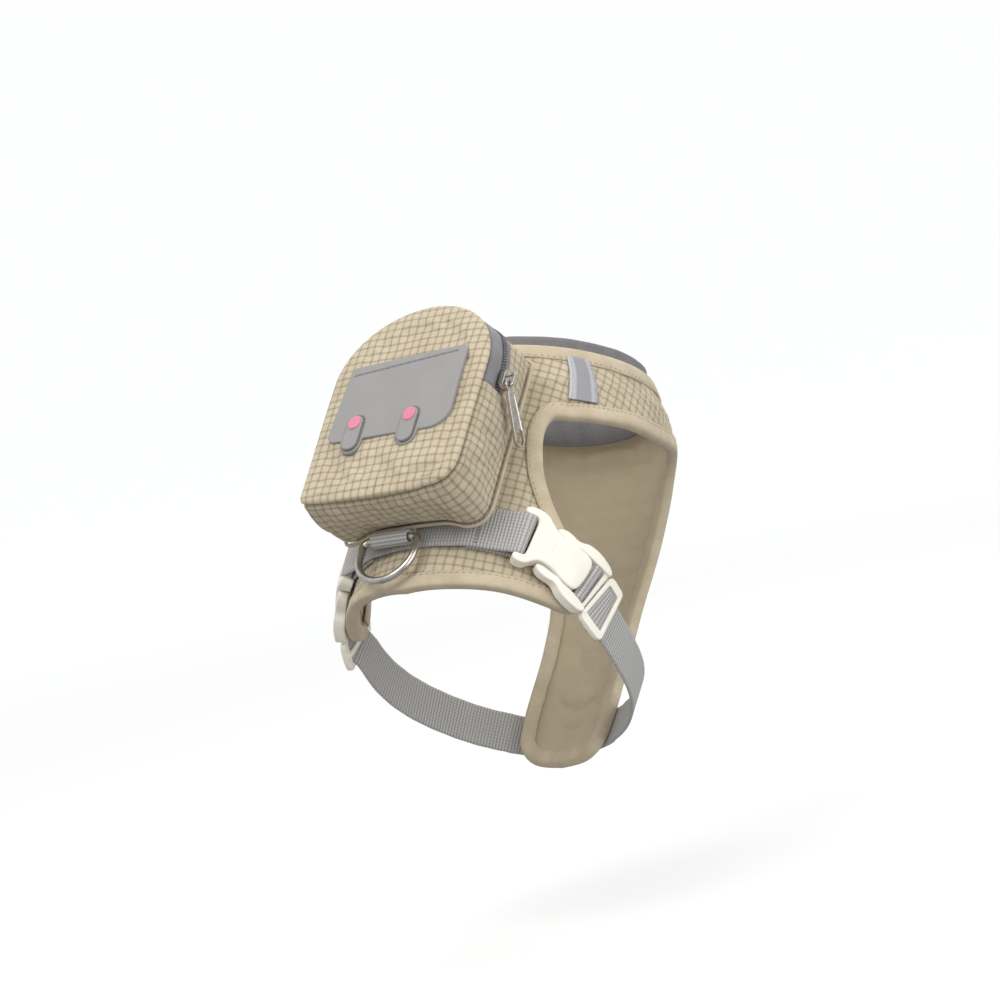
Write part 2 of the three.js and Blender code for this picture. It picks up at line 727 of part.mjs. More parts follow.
function strapSlider() {
  const start = sliderMiddle - sliderLength / 2;
  const top = sliderFloor + sliderThickness;
  const block = beltBlock(start, start + sliderLength, sliderWidth / 2, sliderFloor - gap, top);
  const room = webbingWidth / 2 + 3 * gap;
  const hole = beltBlock(start + sliderRail, start + sliderLength - sliderRail, room, 0, 3 * top);
  const bar = beltBlock(sliderMiddle - sliderMiddleBar / 2, sliderMiddle + sliderMiddleBar / 2, room + gap,
    middleBarFloor, middleBarTop);
  const strapRoom = beltBlock(start - sliderRail, start + sliderLength + sliderRail, room, 0, sliderFloor);
  return joined(cut(cut(block, hole), strapRoom), bar);
}

function addBuckles() {
  addPair('buckle_female', femaleBuckle(), materials.ivoryPlastic);
  addPair('buckle_male', maleBuckle(), materials.ivoryPlastic);
  addPair('strap_slider', strapSlider(), materials.ivoryPlastic);
}

// From the tail folded under the right male buckle, through its slider and round the belly.
function addBellyStrap() {
  const inner = buckleStart + innerBarAt;
  const slider = buckleStart + sliderMiddle;
  const overBar = middleBarTop + gap + webbingThickness / 2;
  const window = sliderLength / 2 - sliderRail;
  const radius = wrapRadius(maleBarThickness);
  const underBar = outerBarFloor - gap - webbingThickness / 2;
  const chestEdge = beltHalfLength - 27;
  const half = [
    { along: inner + maleBarThickness / 2, lift: barLift - radius },
    ...wrap(inner, barLift, radius, 270, 0),
    { along: inner + radius + gap, lift: underBar + gap },
    { along: inner + radius + webbingThickness, lift: underBar },
    { along: buckleStart + maleEnd, lift: underBar - gap },
    { along: slider - window + gap, lift: overBinding },
    { along: slider - sliderMiddleBar * 0.7, lift: overBar },
    { along: slider + sliderMiddleBar * 0.7, lift: overBar },
    { along: slider + window - gap, lift: overBinding },
    { along: slider + sliderLength, lift: strapLift },
    { along: chestEdge - 6, lift: strapLift },
    { along: chestEdge, lift: overBinding },
    { along: beltHalfLength, lift: overBinding },
  ];
  // past the belly the same route comes back up the other side, so the belt is lofted in one run
  const other = half.slice(0, -1).reverse().map(({ along, lift }) => ({ along: 2 * beltHalfLength - along, lift }));
  const place = (along, across, lift) => {
    if (along <= beltHalfLength) return beltPoint(along, across, lift);
    return beltPoint(along - 2 * beltHalfLength, across, lift);
  };
  addPart('belly_strap', strapShape([...half, ...other], webbingWidth, place), materials.webbing);
}

function addRing() {
  const barPlace = new THREE.Vector3(ringOffset, ringBarBack, ringBarRise);
  const halfWidth = (ringWidth - ringWire) / 2;
  const legs = ringLength - ringWire - halfWidth;
  const centre = new THREE.Path();
  centre.moveTo(0, 0);
  centre.lineTo(halfWidth - ringCornerRadius, 0);
  centre.absarc(halfWidth - ringCornerRadius, -ringCornerRadius, ringCornerRadius, Math.PI / 2, 0, true);
  centre.lineTo(halfWidth, -legs);
  centre.absarc(0, -legs, halfWidth, 0, -Math.PI, true);
  centre.lineTo(-halfWidth, -ringCornerRadius);
  centre.absarc(-halfWidth + ringCornerRadius, -ringCornerRadius, ringCornerRadius, Math.PI, Math.PI / 2, true);
  centre.lineTo(0, 0);
  const spots = centre.getSpacedPoints(32).slice(0, -1);
  const rings = spots.map((spot, i) => {
    const before = spots[(i + spots.length - 1) % spots.length];
    const after = spots[(i + 1) % spots.length];
    const side = new THREE.Vector2(after.y - before.y, before.x - after.x).normalize();
    return steps(0, 360, 7).slice(0, -1).map((degrees) => {
      const turn = radians(degrees);
      const outward = Math.cos(turn) * ringWire / 2;
      return new THREE.Vector3(spot.x + side.x * outward, spot.y + side.y * outward, Math.sin(turn) * ringWire / 2)
        .add(barPlace);
    });
  });
  addPart('d_ring', loft(rings, null), materials.nickel);
}

// Short webbing loop round the ring's bar, sewn down on the belt under the pack's base.
function addRingKeeper() {
  const radius = ringWire / 2 + gap + webbingThickness / 2;
  const lower = strapLift + webbingThickness + gap;
  const turn = (degrees) => ({
    along: ringBarBack - Math.cos(radians(degrees)) * radius,
    lift: ringBarRise + Math.sin(radians(degrees)) * radius,
  });
  const start = ringBarBack + keeperLength;
  const route = [
    { along: start, lift: lower },
    { along: ringBarBack + radius, lift: lower },
    ...steps(-90, 135, 8).map(turn),
    { along: ringBarBack + radius + gap, lift: lower + webbingThickness + gap },
  ];
  const place = (along, across, lift) => new THREE.Vector3(ringOffset + across, along, lift);
  addPart('ring_keeper', strapShape(route, keeperWidth, place), materials.webbing);
}

// The pack's outline at its front seam and at its base, as closed loops of spots that start in
// the middle of the bottom and run to the right.
const outlineSteps = 36;

function packOutline({ bottomHalf, half, bottom, top, arch, corner, sag }) {
  const path = new THREE.Path();
  path.moveTo(0, -bottom - sag);
  path.quadraticCurveTo(bottomHalf / 2, -bottom - sag, bottomHalf - corner, -bottom);
  path.quadraticCurveTo(bottomHalf, -bottom, bottomHalf, -bottom + corner);
  path.bezierCurveTo(bottomHalf, -bottom / 2, half, -bottom / 3, half, top - arch);
  path.absellipse(0, top - arch, half, arch, 0, Math.PI / 2, false, 0);
  const right = path.getSpacedPoints(outlineSteps / 2);
  const left = right.slice(1, -1).reverse().map((p) => new THREE.Vector2(-p.x, p.y));
  return [...right, ...left];
}

const frontOutline = packOutline({
  bottomHalf: packHalfWidth, half: packHalfWidth, bottom: packBottom, top: packTop,
  arch: packArchHeight, corner: packCornerRadius, sag: frontSag,
});
const baseOutline = packOutline({
  bottomHalf: baseBottomHalfWidth, half: baseHalfWidth, bottom: baseBottom, top: baseTop,
  arch: baseArchHeight, corner: packCornerRadius * 0.6, sag: -baseHollow,
});
const frontSeam = packFrontHeight - packFrontCrown;

// Height of the base seam: it arches over the ring's keeper at the bottom and the vest at the top.
function baseSeam(spot) {
  const middle = 1 - smooth(Math.abs(spot.x), baseBottomHalfWidth * 0.45, baseBottomHalfWidth * 0.95);
  const bottomEnd = 1 - smooth(spot.y, -baseBottom, -baseBottom * 0.5);
  const topEnd = smooth(spot.y, baseTop * 0.5, baseTop);
  return baseRise + (baseArch * bottomEnd + baseTopArch * topEnd) * middle;
}

// A spot between two places of an outline.
function outlineAt(outline, place) {
  const wrapped = ((place % outlineSteps) + outlineSteps) % outlineSteps;
  const i = Math.floor(wrapped);
  return outline[i].clone().lerp(outline[(i + 1) % outlineSteps], wrapped - i);
}

function outwardAt(place) {
  const step = outlineAt(frontOutline, place + 0.5).sub(outlineAt(frontOutline, place - 0.5));
  return new THREE.Vector2(step.y, -step.x).normalize();
}

// A point of the pack's side wall: place in the outline, height and distance in from outside.
function wallPoint(place, height, inset) {
  const base = outlineAt(baseOutline, place);
  const low = baseSeam(base);
  const t = clamp((height - low) / (frontSeam - low), 0, 1);
  const spot = base.lerp(outlineAt(frontOutline, place), t);
  spot.addScaledVector(outwardAt(place), packBulge * Math.sin(Math.PI * t) - inset);
  return new THREE.Vector3(spot.x, spot.y, height);
}

// A band of the side wall between two heights, over a run of outline places.
function wallBand(places, lowAt, highAt, rows, thickness, outset = 0) {
  const count = 2 * (rows + 1);
  const capFaces = [];
  for (let k = 0; k < rows; k++) capFaces.push([k, k + 1, count - 2 - k], [k, count - 2 - k, count - 1 - k]);
  const rings = places.map((place) => {
    const height = (t) => lerp(lowAt(place), highAt(place), t);
    return [
      ...steps(0, 1, rows).map((t) => wallPoint(place, height(t), -outset)),
      ...steps(1, 0, rows).map((t) => wallPoint(place, height(t), thickness - outset)),
    ];
  });
  return loft(rings, capFaces);
}

// The outline place on the right side that lies at a given distance along the spine.
function placeAlong(y) {
  const next = frontOutline.findIndex((spot, i) => i > outlineSteps / 8 && spot.y > y);
  const [from, to] = [frontOutline[next - 1], frontOutline[next]];
  return next - 1 + (y - from.y) / (to.y - from.y);
}
const zipPlace = placeAlong(zipStart);

function addPackWalls() {
  const lowAt = (place) => baseSeam(outlineAt(baseOutline, place)) + gap;
  const level = (height) => () => height;
  const top = level(frontSeam - gap);
  const start = placeAlong(zipStart + gap);
  const below = steps(-zipPlace, zipPlace, 2 * Math.round(zipPlace));
  const over = steps(start, outlineSteps - start, outlineSteps - 2 * Math.round(zipPlace));
  const tapeTop = zipBack + zipTapeBackWidth;
  const coilTop = tapeTop + zipCoilWidth;
  const half = gap / 2;
  const cloth = materials.checkedCloth;
  const grey = materials.greyTape;
  addPart('pack_gusset', wallBand(below, lowAt, top, 3, packWall), cloth);
  addPart('pack_gusset_top', wallBand(over, lowAt, level(zipBack - half), 2, packWall), cloth);
  addPart('zip_tape_back', wallBand(over, level(zipBack + half), level(tapeTop - half), 1, packWall), grey);
  addPart('zip_coil',
    wallBand(over, level(tapeTop + half), level(coilTop - half), 1, zipCoilThickness, zipCoilStand), grey);
  addPart('zip_tape_front', wallBand(over, level(coilTop + half), top, 1, packWall), grey);
}

// Rings of spots from an outline's middle out to the outline itself.
function outlineRings(outline, middle, shares) {
  return shares.map((share) => [...outline, outline[0]].map((spot) => ({
    x: lerp(middle.x, spot.x, share), y: lerp(middle.y, spot.y, share), share,
  })));
}

function addPackFront() {
  const rings = outlineRings(frontOutline, { x: 0, y: 0 }, [0, 0.75, 1]);
  const place = (spot, side) => {
    const crown = packFrontCrown * (1 - spot.share ** 4);
    return new THREE.Vector3(spot.x, spot.y, frontSeam + crown + (side - 1) * packFrontThickness);
  };
  const raised = (spot, side) => place(spot, side).setZ(place(spot, side).z + packFrontThickness);
  addPart('pack_front', thickSheet([rings], ['x', 'y'], raised), materials.checkedCloth);
}

// The pack's back follows the vest, bridges the belt and rises at its rim to the base seam.
function addPackBase() {
  const middle = { x: 0, y: baseTop * 0.1 };
  const rings = outlineRings(baseOutline, middle, [0, 0.4, 0.8, 1]);
  const belt = alongFrom(beltRoute[0].at) + webbingWidth / 2;
  const overBelt = ringBarRise;
  const place = (spot, side) => {
    const around = THREE.MathUtils.radToDeg(Math.asin(clamp(spot.x / chestHalfWidth, -1, 1)));
    const at = spot.y / (spot.y < 0 ? rearReach : neckReach);
    const rest = clothThickness + 3 * gap;
    const lift = lerp(rest, overBelt, 1 - smooth(spot.y, belt + bindingWidth / 2, belt + bindingWidth * 1.5));
    const resting = onTorso(around, at, lift).z;
    const rim = smooth(spot.share, 0.72, 1);
    const low = lerp(resting, baseSeam(spot) - baseWall - gap, rim);
    return new THREE.Vector3(spot.x * (1 - 0.03 * rim), spot.y * (1 - 0.03 * rim), low + side * baseWall);
  };
  addPart('pack_base', thickSheet([rings], ['x', 'y'], place), materials.checkedCloth);
}

// Thin piping tucked in the base seam, between the back and the side wall.
function addPiping() {
  const rings = baseOutline.map((spot, i) => {
    const out = outwardAt(i);
    const height = baseSeam(spot) - pipingRadius;
    return steps(0, 360, 5).slice(0, -1).map((degrees) => {
      const outward = gap + pipingRadius * (1 + Math.cos(radians(degrees)));
      return new THREE.Vector3(
        spot.x + out.x * outward, spot.y + out.y * outward, height + Math.sin(radians(degrees)) * pipingRadius,
      );
    });
  });
  addPart('pack_piping', loft(rings, null), materials.tanTape);
}

function extruded(shape, depth, low, curveSegments = 4) {
  const geometry = new THREE.ExtrudeGeometry(shape, { depth, bevelEnabled: false, curveSegments });
  return fromGeometry(geometry.translate(0, 0, low));
}

// A rectangle with its own rounding at each corner, centred on a point.
function roundedRectangle(x, y, width, height, { topRound, bottomRound }) {
  const [left, right, low, high] = [x - width / 2, x + width / 2, y - height / 2, y + height / 2];
  const shape = new THREE.Shape();
  shape.moveTo(left + bottomRound, low);
  shape.lineTo(right - bottomRound, low);
  shape.absarc(right - bottomRound, low + bottomRound, bottomRound, -Math.PI / 2, 0, false);
  shape.lineTo(right, high - topRound);
  shape.absarc(right - topRound, high - topRound, topRound, 0, Math.PI / 2, false);
  shape.lineTo(left + topRound, high);
  shape.absarc(left + topRound, high - topRound, topRound, Math.PI / 2, Math.PI, false);
  shape.lineTo(left, low + bottomRound);
  shape.absarc(left + bottomRound, low + bottomRound, bottomRound, Math.PI, Math.PI * 1.5, false);
  return shape;
}

function addPatch() {
  const low = packFrontHeight + packFrontThickness + gap;
  const patchLow = patchAhead - patchHeight / 2;
  const flap = roundedRectangle(patchOffset, patchAhead, patchWidth, patchHeight,
    { topRound: 2.5, bottomRound: patchHeight * 0.22 });
  let body = extruded(flap, patchThickness, low);
  const tabMiddle = patchLow - patchTabDrop + patchTabLength / 2;
  const sides = { right: 1, left: -1 };
  const tabX = (side) => patchOffset + patchTabShift + side * patchTabSpacing / 2;
  for (const side of Object.values(sides)) {
    const foot = roundedRectangle(tabX(side), tabMiddle, patchTabWidth, patchTabLength,
      { topRound: patchTabWidth * 0.45, bottomRound: patchTabWidth * 0.45 });
    body = joined(body, extruded(foot, patchThickness, low));
  }
  addPart('pack_patch', body, materials.greyRubber);
  const tabLow = low + patchThickness + gap;
  for (const [name, side] of Object.entries(sides)) {
    const width = patchTabWidth - 2 * patchTabRim;
    const length = patchTabLength - 2 * patchTabRim;
    const tab = roundedRectangle(tabX(side), tabMiddle, width, length,
      { topRound: width * 0.45, bottomRound: width * 0.45 });
    addPart(`patch_tab_${name}`, extruded(tab, patchTabThickness, tabLow), materials.greyRubber);
    const button = new THREE.Shape();
    button.absellipse(tabX(side), tabMiddle + length / 2 - buttonLength * 0.62,
      buttonWidth / 2 - gap, buttonLength / 2, 0, Math.PI * 2, false, 0);
    addPart(`patch_button_${name}`,
      extruded(button, buttonThickness, tabLow + patchTabThickness + gap, 14), materials.pinkRubber);
  }
}

// The slider rides on the coil at the pack's right side, with a bridge that holds the pull.
const coilMiddle = zipBack + zipTapeBackWidth + zipCoilWidth / 2;
const coilPlace = placeAlong(zipSliderAt);
const coilFace = wallPoint(coilPlace, coilMiddle, -zipCoilStand);

// Where the pull's eye hangs: round the lower leg of the slider's bridge.
const sliderClear = zipCoilStand + gap;
const pullHinge = coilFace.clone().add(new THREE.Vector3(
  sliderClear + zipSliderHeight + bridgeRoom / 2, -(bridgeSpan - bridgeWire) / 2, 0,
));

function addZipSlider() {
  const out = outwardAt(coilPlace);
  const turn = Math.atan2(-out.x, out.y);
  const body = new THREE.Shape();
  const half = zipSliderLength / 2;
  body.moveTo(-zipSliderWidth / 2, -half + 1);
  body.quadraticCurveTo(0, -half - 1, zipSliderWidth / 2, -half + 1);
  body.lineTo(zipSliderWidth / 2, half - 2);
  body.lineTo(zipSliderWidth / 3, half);
  body.lineTo(-zipSliderWidth / 3, half);
  body.lineTo(-zipSliderWidth / 2, half - 2);
  body.closePath();
  // laid with its width across the zip (z), its length along the zip (y) and its height outwards
  const upright = ({ points, faces }, clear) => solid(points.map((p) => {
    const q = new THREE.Vector3(p.z + clear, p.y, -p.x);
    q.applyAxisAngle(new THREE.Vector3(0, 0, 1), turn + Math.PI / 2);
    return q.add(coilFace);
  }), faces);
  const plate = upright(extruded(body, zipSliderHeight, 0, 4), sliderClear);
  addPart('zip_slider', joined(plate, upright(sliderBridge(), sliderClear)), materials.nickel);
}

// A small bridge over the slider, through which the pull's eye hangs.
function sliderBridge() {
  const foot = bridgeWire;
  const profile = new THREE.Shape();
  const half = bridgeSpan / 2;
  const rise = zipSliderHeight + bridgeRoom + bridgeWire;
  profile.moveTo(-half, zipSliderHeight - gap);
  profile.lineTo(-half, rise - foot);
  profile.quadraticCurveTo(-half, rise, -half + foot, rise);
  profile.lineTo(half - foot, rise);
  profile.quadraticCurveTo(half, rise, half, rise - foot);
  profile.lineTo(half, zipSliderHeight - gap);
  profile.lineTo(half - foot, zipSliderHeight - gap);
  profile.lineTo(half - foot, rise - foot);
  profile.lineTo(-half + foot, rise - foot);
  profile.lineTo(-half + foot, zipSliderHeight - gap);
  profile.closePath();
  const wire = extruded(profile, bridgeWire, -bridgeWire / 2, 3);
  // from (along the zip, height, across) to (across, along, height)
  return solid(wire.points.map((p) => new THREE.Vector3(p.z, p.x, p.y)), wire.faces);
}

// The pull hangs straight down from the bridge, flat beside the pack.
function addZipPull() {
  const eyeOuter = pullEye;
  const shape = new THREE.Shape();
  const neck = pullWidth * 0.28;
  const plateTop = -eyeOuter - 1.5;
  const end = plateTop - pullLength + pullWidth / 2;
  shape.moveTo(-neck, plateTop + 1);
  shape.lineTo(-pullWidth * 0.38, plateTop - 1.5);
  shape.lineTo(-pullWidth / 2, end);
  shape.absarc(0, end, pullWidth / 2, Math.PI, Math.PI * 2, false);
  shape.lineTo(pullWidth * 0.38, plateTop - 1.5);
  shape.lineTo(neck, plateTop + 1);
  shape.absarc(0, 0, eyeOuter, -Math.PI / 3, Math.PI * 4 / 3, false);
  const eye = new THREE.Path();
  eye.absarc(0, 0, eyeOuter - bridgeWire, 0, Math.PI * 2, true);
  shape.holes.push(eye);
  const hole = new THREE.Path();
  hole.absellipse(0, end + (pullHoleLength - pullHole) / 2, pullHole / 2, pullHoleLength / 2, 0, Math.PI * 2, true);
  shape.holes.push(hole);
  const plate = extruded(shape, pullThickness, -pullThickness / 2, 7);
  const hang = new THREE.Matrix4().makeRotationX(radians(90 - backPitch))
    .multiply(new THREE.Matrix4().makeRotationY(Math.PI / 2));
  const points = plate.points.map((p) => p.clone().applyMatrix4(hang).add(pullHinge));
  addPart('zip_pull', solid(points, plate.faces), materials.nickel);
}

addBackPanel();
addChestPanel();
addBindings();
addNeckLining();
addReflectiveStrips();
addBackStrap();
addBuckles();
addBellyStrap();
addRing();
addRingKeeper();
addPackWalls();
addPackFront();
addPackBase();
addPiping();
addPatch();
addZipSlider();
addZipPull();

export default worn;
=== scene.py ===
import math

import bmesh
import bpy
import numpy as np
from mathutils import Matrix, Vector
from mathutils.kdtree import KDTree


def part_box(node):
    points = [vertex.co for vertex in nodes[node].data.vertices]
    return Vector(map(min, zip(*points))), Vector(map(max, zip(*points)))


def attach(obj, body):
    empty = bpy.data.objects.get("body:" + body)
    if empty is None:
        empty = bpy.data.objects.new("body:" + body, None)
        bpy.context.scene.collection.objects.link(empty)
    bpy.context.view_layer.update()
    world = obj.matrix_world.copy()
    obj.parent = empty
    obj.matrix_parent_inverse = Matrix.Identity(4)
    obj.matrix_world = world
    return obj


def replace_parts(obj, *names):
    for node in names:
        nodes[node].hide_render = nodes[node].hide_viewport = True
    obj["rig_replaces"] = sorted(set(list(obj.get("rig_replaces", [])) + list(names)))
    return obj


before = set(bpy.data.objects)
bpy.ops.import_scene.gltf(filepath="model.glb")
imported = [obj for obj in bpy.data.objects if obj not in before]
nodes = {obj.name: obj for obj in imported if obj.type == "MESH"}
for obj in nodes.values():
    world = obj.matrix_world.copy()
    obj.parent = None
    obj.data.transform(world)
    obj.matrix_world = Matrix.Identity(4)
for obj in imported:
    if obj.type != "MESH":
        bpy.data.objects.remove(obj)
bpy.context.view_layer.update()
mm = 0.001
print("frame loaded")


# torso form: body axes in millimetres (x right, s along the spine, n out of the back)
form = {
    "pitch": 45,
    "halfWidth": 58,
    "depth": 134,
    "rearReach": 75,
    "neckReach": 52,
    "gap": 0.3,
    "cloth": 2.4,
    "rings": [
        {"at": -1.3, "rise": -0.02, "ahead": 0, "depth": 0.96, "width": 0.965},
        {"at": -0.6, "rise": 0, "ahead": 0, "depth": 1, "width": 1},
        {"at": 0, "rise": 0, "ahead": 0.02, "depth": 1, "width": 1},
        {"at": 0.48, "rise": 0, "ahead": 0.29, "depth": 0.97, "width": 0.985},
        {"at": 0.81, "rise": 0, "ahead": 0.6, "depth": 0.88, "width": 0.9},
        {"at": 1, "rise": 0, "ahead": 0.73, "depth": 0.72, "width": 0.81},
        {"at": 1.2, "rise": 0.01, "ahead": 0.74, "depth": 0.68, "width": 0.78},
    ],
}


def blendRows(rows, key, wanted, value):  # smooth curve through one column of a table
    x = np.array([row[key] for row in rows], float)
    y = np.array([row[wanted] for row in rows], float)
    last = len(x) - 1
    before, after = np.maximum(np.arange(last + 1) - 1, 0), np.minimum(np.arange(last + 1) + 1, last)
    slope = (y[after] - y[before]) / (x[after] - x[before])
    value = np.asarray(value, float)
    i = np.clip(np.searchsorted(x, value, side="right") - 1, 0, last - 1)
    span = x[i + 1] - x[i]
    t = (value - x[i]) / span
    rise = (2 * t**3 - 3 * t**2 + 1) * y[i] + (3 * t**2 - 2 * t**3) * y[i + 1]
    return rise + ((t**3 - 2 * t**2 + t) * slope[i] + (t**3 - t**2) * slope[i + 1]) * span


def torso(around, at):  # degrees round from the spine, and share of the reach fore or aft
    turn = np.radians(around)
    ahead = blendRows(form["rings"], "at", "ahead", at) * form["neckReach"] / 2
    half = blendRows(form["rings"], "at", "depth", at) * form["depth"] / 2
    width = blendRows(form["rings"], "at", "width", at) * form["halfWidth"]
    rise = blendRows(form["rings"], "at", "rise", at) * form["depth"]
    along = np.where(np.asarray(at) < 0, form["rearReach"], form["neckReach"]) * at
    return np.stack([
        np.sin(turn) * width,
        along + ahead - np.cos(turn) * ahead,
        rise - half + np.cos(turn) * half,
    ], -1)


def unit(v):
    return v / np.linalg.norm(v, axis=-1, keepdims=True)


def torsoFrame(around, at):  # tangents per degree and per share, and the outward normal
    around, at = np.broadcast_arrays(np.asarray(around, float), np.asarray(at, float))
    turning = torso(around + 0.5, at) - torso(around - 0.5, at)
    onward = (torso(around, at + 0.005) - torso(around, at - 0.005)) / 0.01
    return turning, onward, unit(np.cross(turning, onward))


def onTorso(around, at, lift):  # a spot above the form
    around, at, lift = np.broadcast_arrays(*[np.asarray(v, float) for v in (around, at, lift)])
    return torso(around, at) + torsoFrame(around, at)[2] * lift[..., None]


def slide(around, at, heading, distance):  # moves spots over the form by a distance
    turning, onward, _ = torsoFrame(around, at)
    aa, ab, bb = (turning**2).sum(-1), (turning * onward).sum(-1), (onward**2).sum(-1)
    ha = (heading * turning).sum(-1) * distance
    hb = (heading * onward).sum(-1) * distance
    scale = aa * bb - ab * ab
    return around + (ha * bb - hb * ab) / scale, at + (hb * aa - ha * ab) / scale


def toRow(p):  # body axes in mm to the row frame in metres
    p = np.asarray(p, float)
    c, s = math.cos(math.radians(form["pitch"])), math.sin(math.radians(form["pitch"]))
    return np.stack([p[..., 0], p[..., 1] * c - p[..., 2] * s, p[..., 1] * s + p[..., 2] * c], -1) * mm


def smooth(value, low, high):  # from 0 to 1 between two values
    t = np.clip((np.asarray(value, float) - low) / (high - low), 0, 1)
    return t * t * (3 - 2 * t)


# camera and stage
camera = {
    "right": (0.83704, 0.22965, -0.49661),
    "up": (0.12649, 0.80184, 0.58399),
    "toward": (0.53232, -0.55164, 0.64213),
    "offset": (22.55, -21.70, 1500),
    "lens": 126.9,
}


def makeCamera():
    data = bpy.data.cameras.new("camera")
    data.lens, data.sensor_width, data.clip_start = camera["lens"], 36, 0.05
    eye = bpy.data.objects.new("camera", data)
    axes = [Vector(toRow(camera[key]) / mm).normalized() for key in ("right", "up", "toward")]
    right, toward = axes[0], axes[2]
    up = toward.cross(right).normalized()
    right = up.cross(toward)
    place = sum((axis * d * mm for axis, d in zip((right, up, toward), camera["offset"])), Vector())
    matrix = Matrix((right, up, toward)).transposed().to_4x4()
    matrix.translation = place
    eye.matrix_world = matrix
    bpy.context.scene.collection.objects.link(eye)
    bpy.context.scene.camera = eye
    return right, up, toward


def areaLight(name, place, size, power, colour, target=(0, 0.02, -0.03)):
    data = bpy.data.lights.new(name, "AREA")
    data.shape, data.size, data.energy, data.color = "DISK", size, power, colour
    lamp = bpy.data.objects.new(name, data)
    lamp.location = place
    lamp.rotation_euler = (Vector(target) - Vector(place)).to_track_quat("-Z", "Y").to_euler()
    bpy.context.scene.collection.objects.link(lamp)


stage = {
    "floor": -0.212,
    "flat": 2.6,  # radius of the level floor, in metres
    "wall": 6.0,
    "key": 8.2, "fill": 9.0, "top": 4.2, "back": 3.0,
    "below": 0.36, "level": 0.62, "above": 0.86,  # brightness of the room, by height
}


def makeStage():
    right, up, toward = makeCamera()
    bm = bmesh.new()
    turn = [bm.verts.new((0, 0, 0)), bm.verts.new((stage["flat"], 0, 0))]
    for step in range(1, 13):
        a = step / 12 * math.pi / 2
        reach = stage["wall"] - stage["flat"]
        turn.append(bm.verts.new((stage["flat"] + reach * math.sin(a), 0, reach * (1 - math.cos(a)))))
    edges = [bm.edges.new(pair) for pair in zip(turn[:-1], turn[1:])]
    bmesh.ops.spin(bm, geom=turn + edges, cent=(0, 0, 0), axis=(0, 0, 1), angle=2 * math.pi, steps=96,
                   use_merge=True)
    bmesh.ops.remove_doubles(bm, verts=bm.verts, dist=1e-5)
    bmesh.ops.recalc_face_normals(bm, faces=bm.faces)
    bmesh.ops.translate(bm, verts=bm.verts, vec=(0, 0, stage["floor"]))
    if min(bm.faces, key=lambda f: f.calc_center_median().length).normal.z < 0:
        bmesh.ops.reverse_faces(bm, faces=bm.faces)
    floor = finishMesh("floor", bm, "floor")
    floor.visible_diffuse = floor.visible_glossy = floor.visible_shadow = False
    areaLight("key", (right * -0.75 + up * 0.95 + toward * 0.8)[:], 0.8, stage["key"], (1, 0.985, 0.96))
    areaLight("fill", (right * 1.2 + up * 0.25 + toward * 1.0)[:], 1.4, stage["fill"], (0.97, 0.985, 1))
    areaLight("top", (0.1, 0.25, 1.3), 1.2, stage["top"], (1, 1, 1))
    areaLight("back", (right * 0.5 + up * 0.7 - toward * 1.0)[:], 0.9, stage["back"], (1, 1, 1))
    world = bpy.context.scene.world or bpy.data.worlds.new("world")
    bpy.context.scene.world = world
    world.use_nodes = True
    room = Paint("room", owner=world)
    aim = room.node("ShaderNodeTexCoord", output="Generated")
    height = room.node("ShaderNodeSeparateXYZ", {}, {0: aim}, 2)
    level, below, above = [(v, v, v) for v in (stage["level"], stage["below"], stage["above"])]
    shade = room.mix(height.between(-0.9, 0.1), below, level)
    room.feed(Color=room.mix(height.between(-0.1, 0.9), shade, above))
    bpy.context.scene.view_settings.view_transform = "Standard"
    print("camera, lights and floor")


# shader maths
class Wire:  # one node output, with arithmetic
    def __init__(self, paint, socket):
        self.paint, self.socket = paint, socket

    def maths(self, operation, a, b):
        return self.paint.node("ShaderNodeMath", {"operation": operation}, {0: a, 1: b})

    def __add__(self, other):
        return self.maths("ADD", self, other)

    def __radd__(self, other):
        return self.maths("ADD", other, self)

    def __sub__(self, other):
        return self.maths("SUBTRACT", self, other)

    def __rsub__(self, other):
        return self.maths("SUBTRACT", other, self)

    def __mul__(self, other):
        return self.maths("MULTIPLY", self, other)

    def __rmul__(self, other):
        return self.maths("MULTIPLY", other, self)

    def __truediv__(self, other):
        return self.maths("DIVIDE", self, other)

    def __pow__(self, other):
        return self.maths("POWER", self, other)

    def fraction(self):
        return self.maths("FRACT", self, 0)

    def size(self):
        return self.maths("ABSOLUTE", self, 0)

    def wave(self):
        return self.maths("SINE", self, 0)

    def between(self, low, high):  # 0 below low, 1 above high, smooth between
        return self.paint.node("ShaderNodeMapRange", {"interpolation_type": "SMOOTHSTEP"},
                               {"Value": self, "From Min": low, "From Max": high})


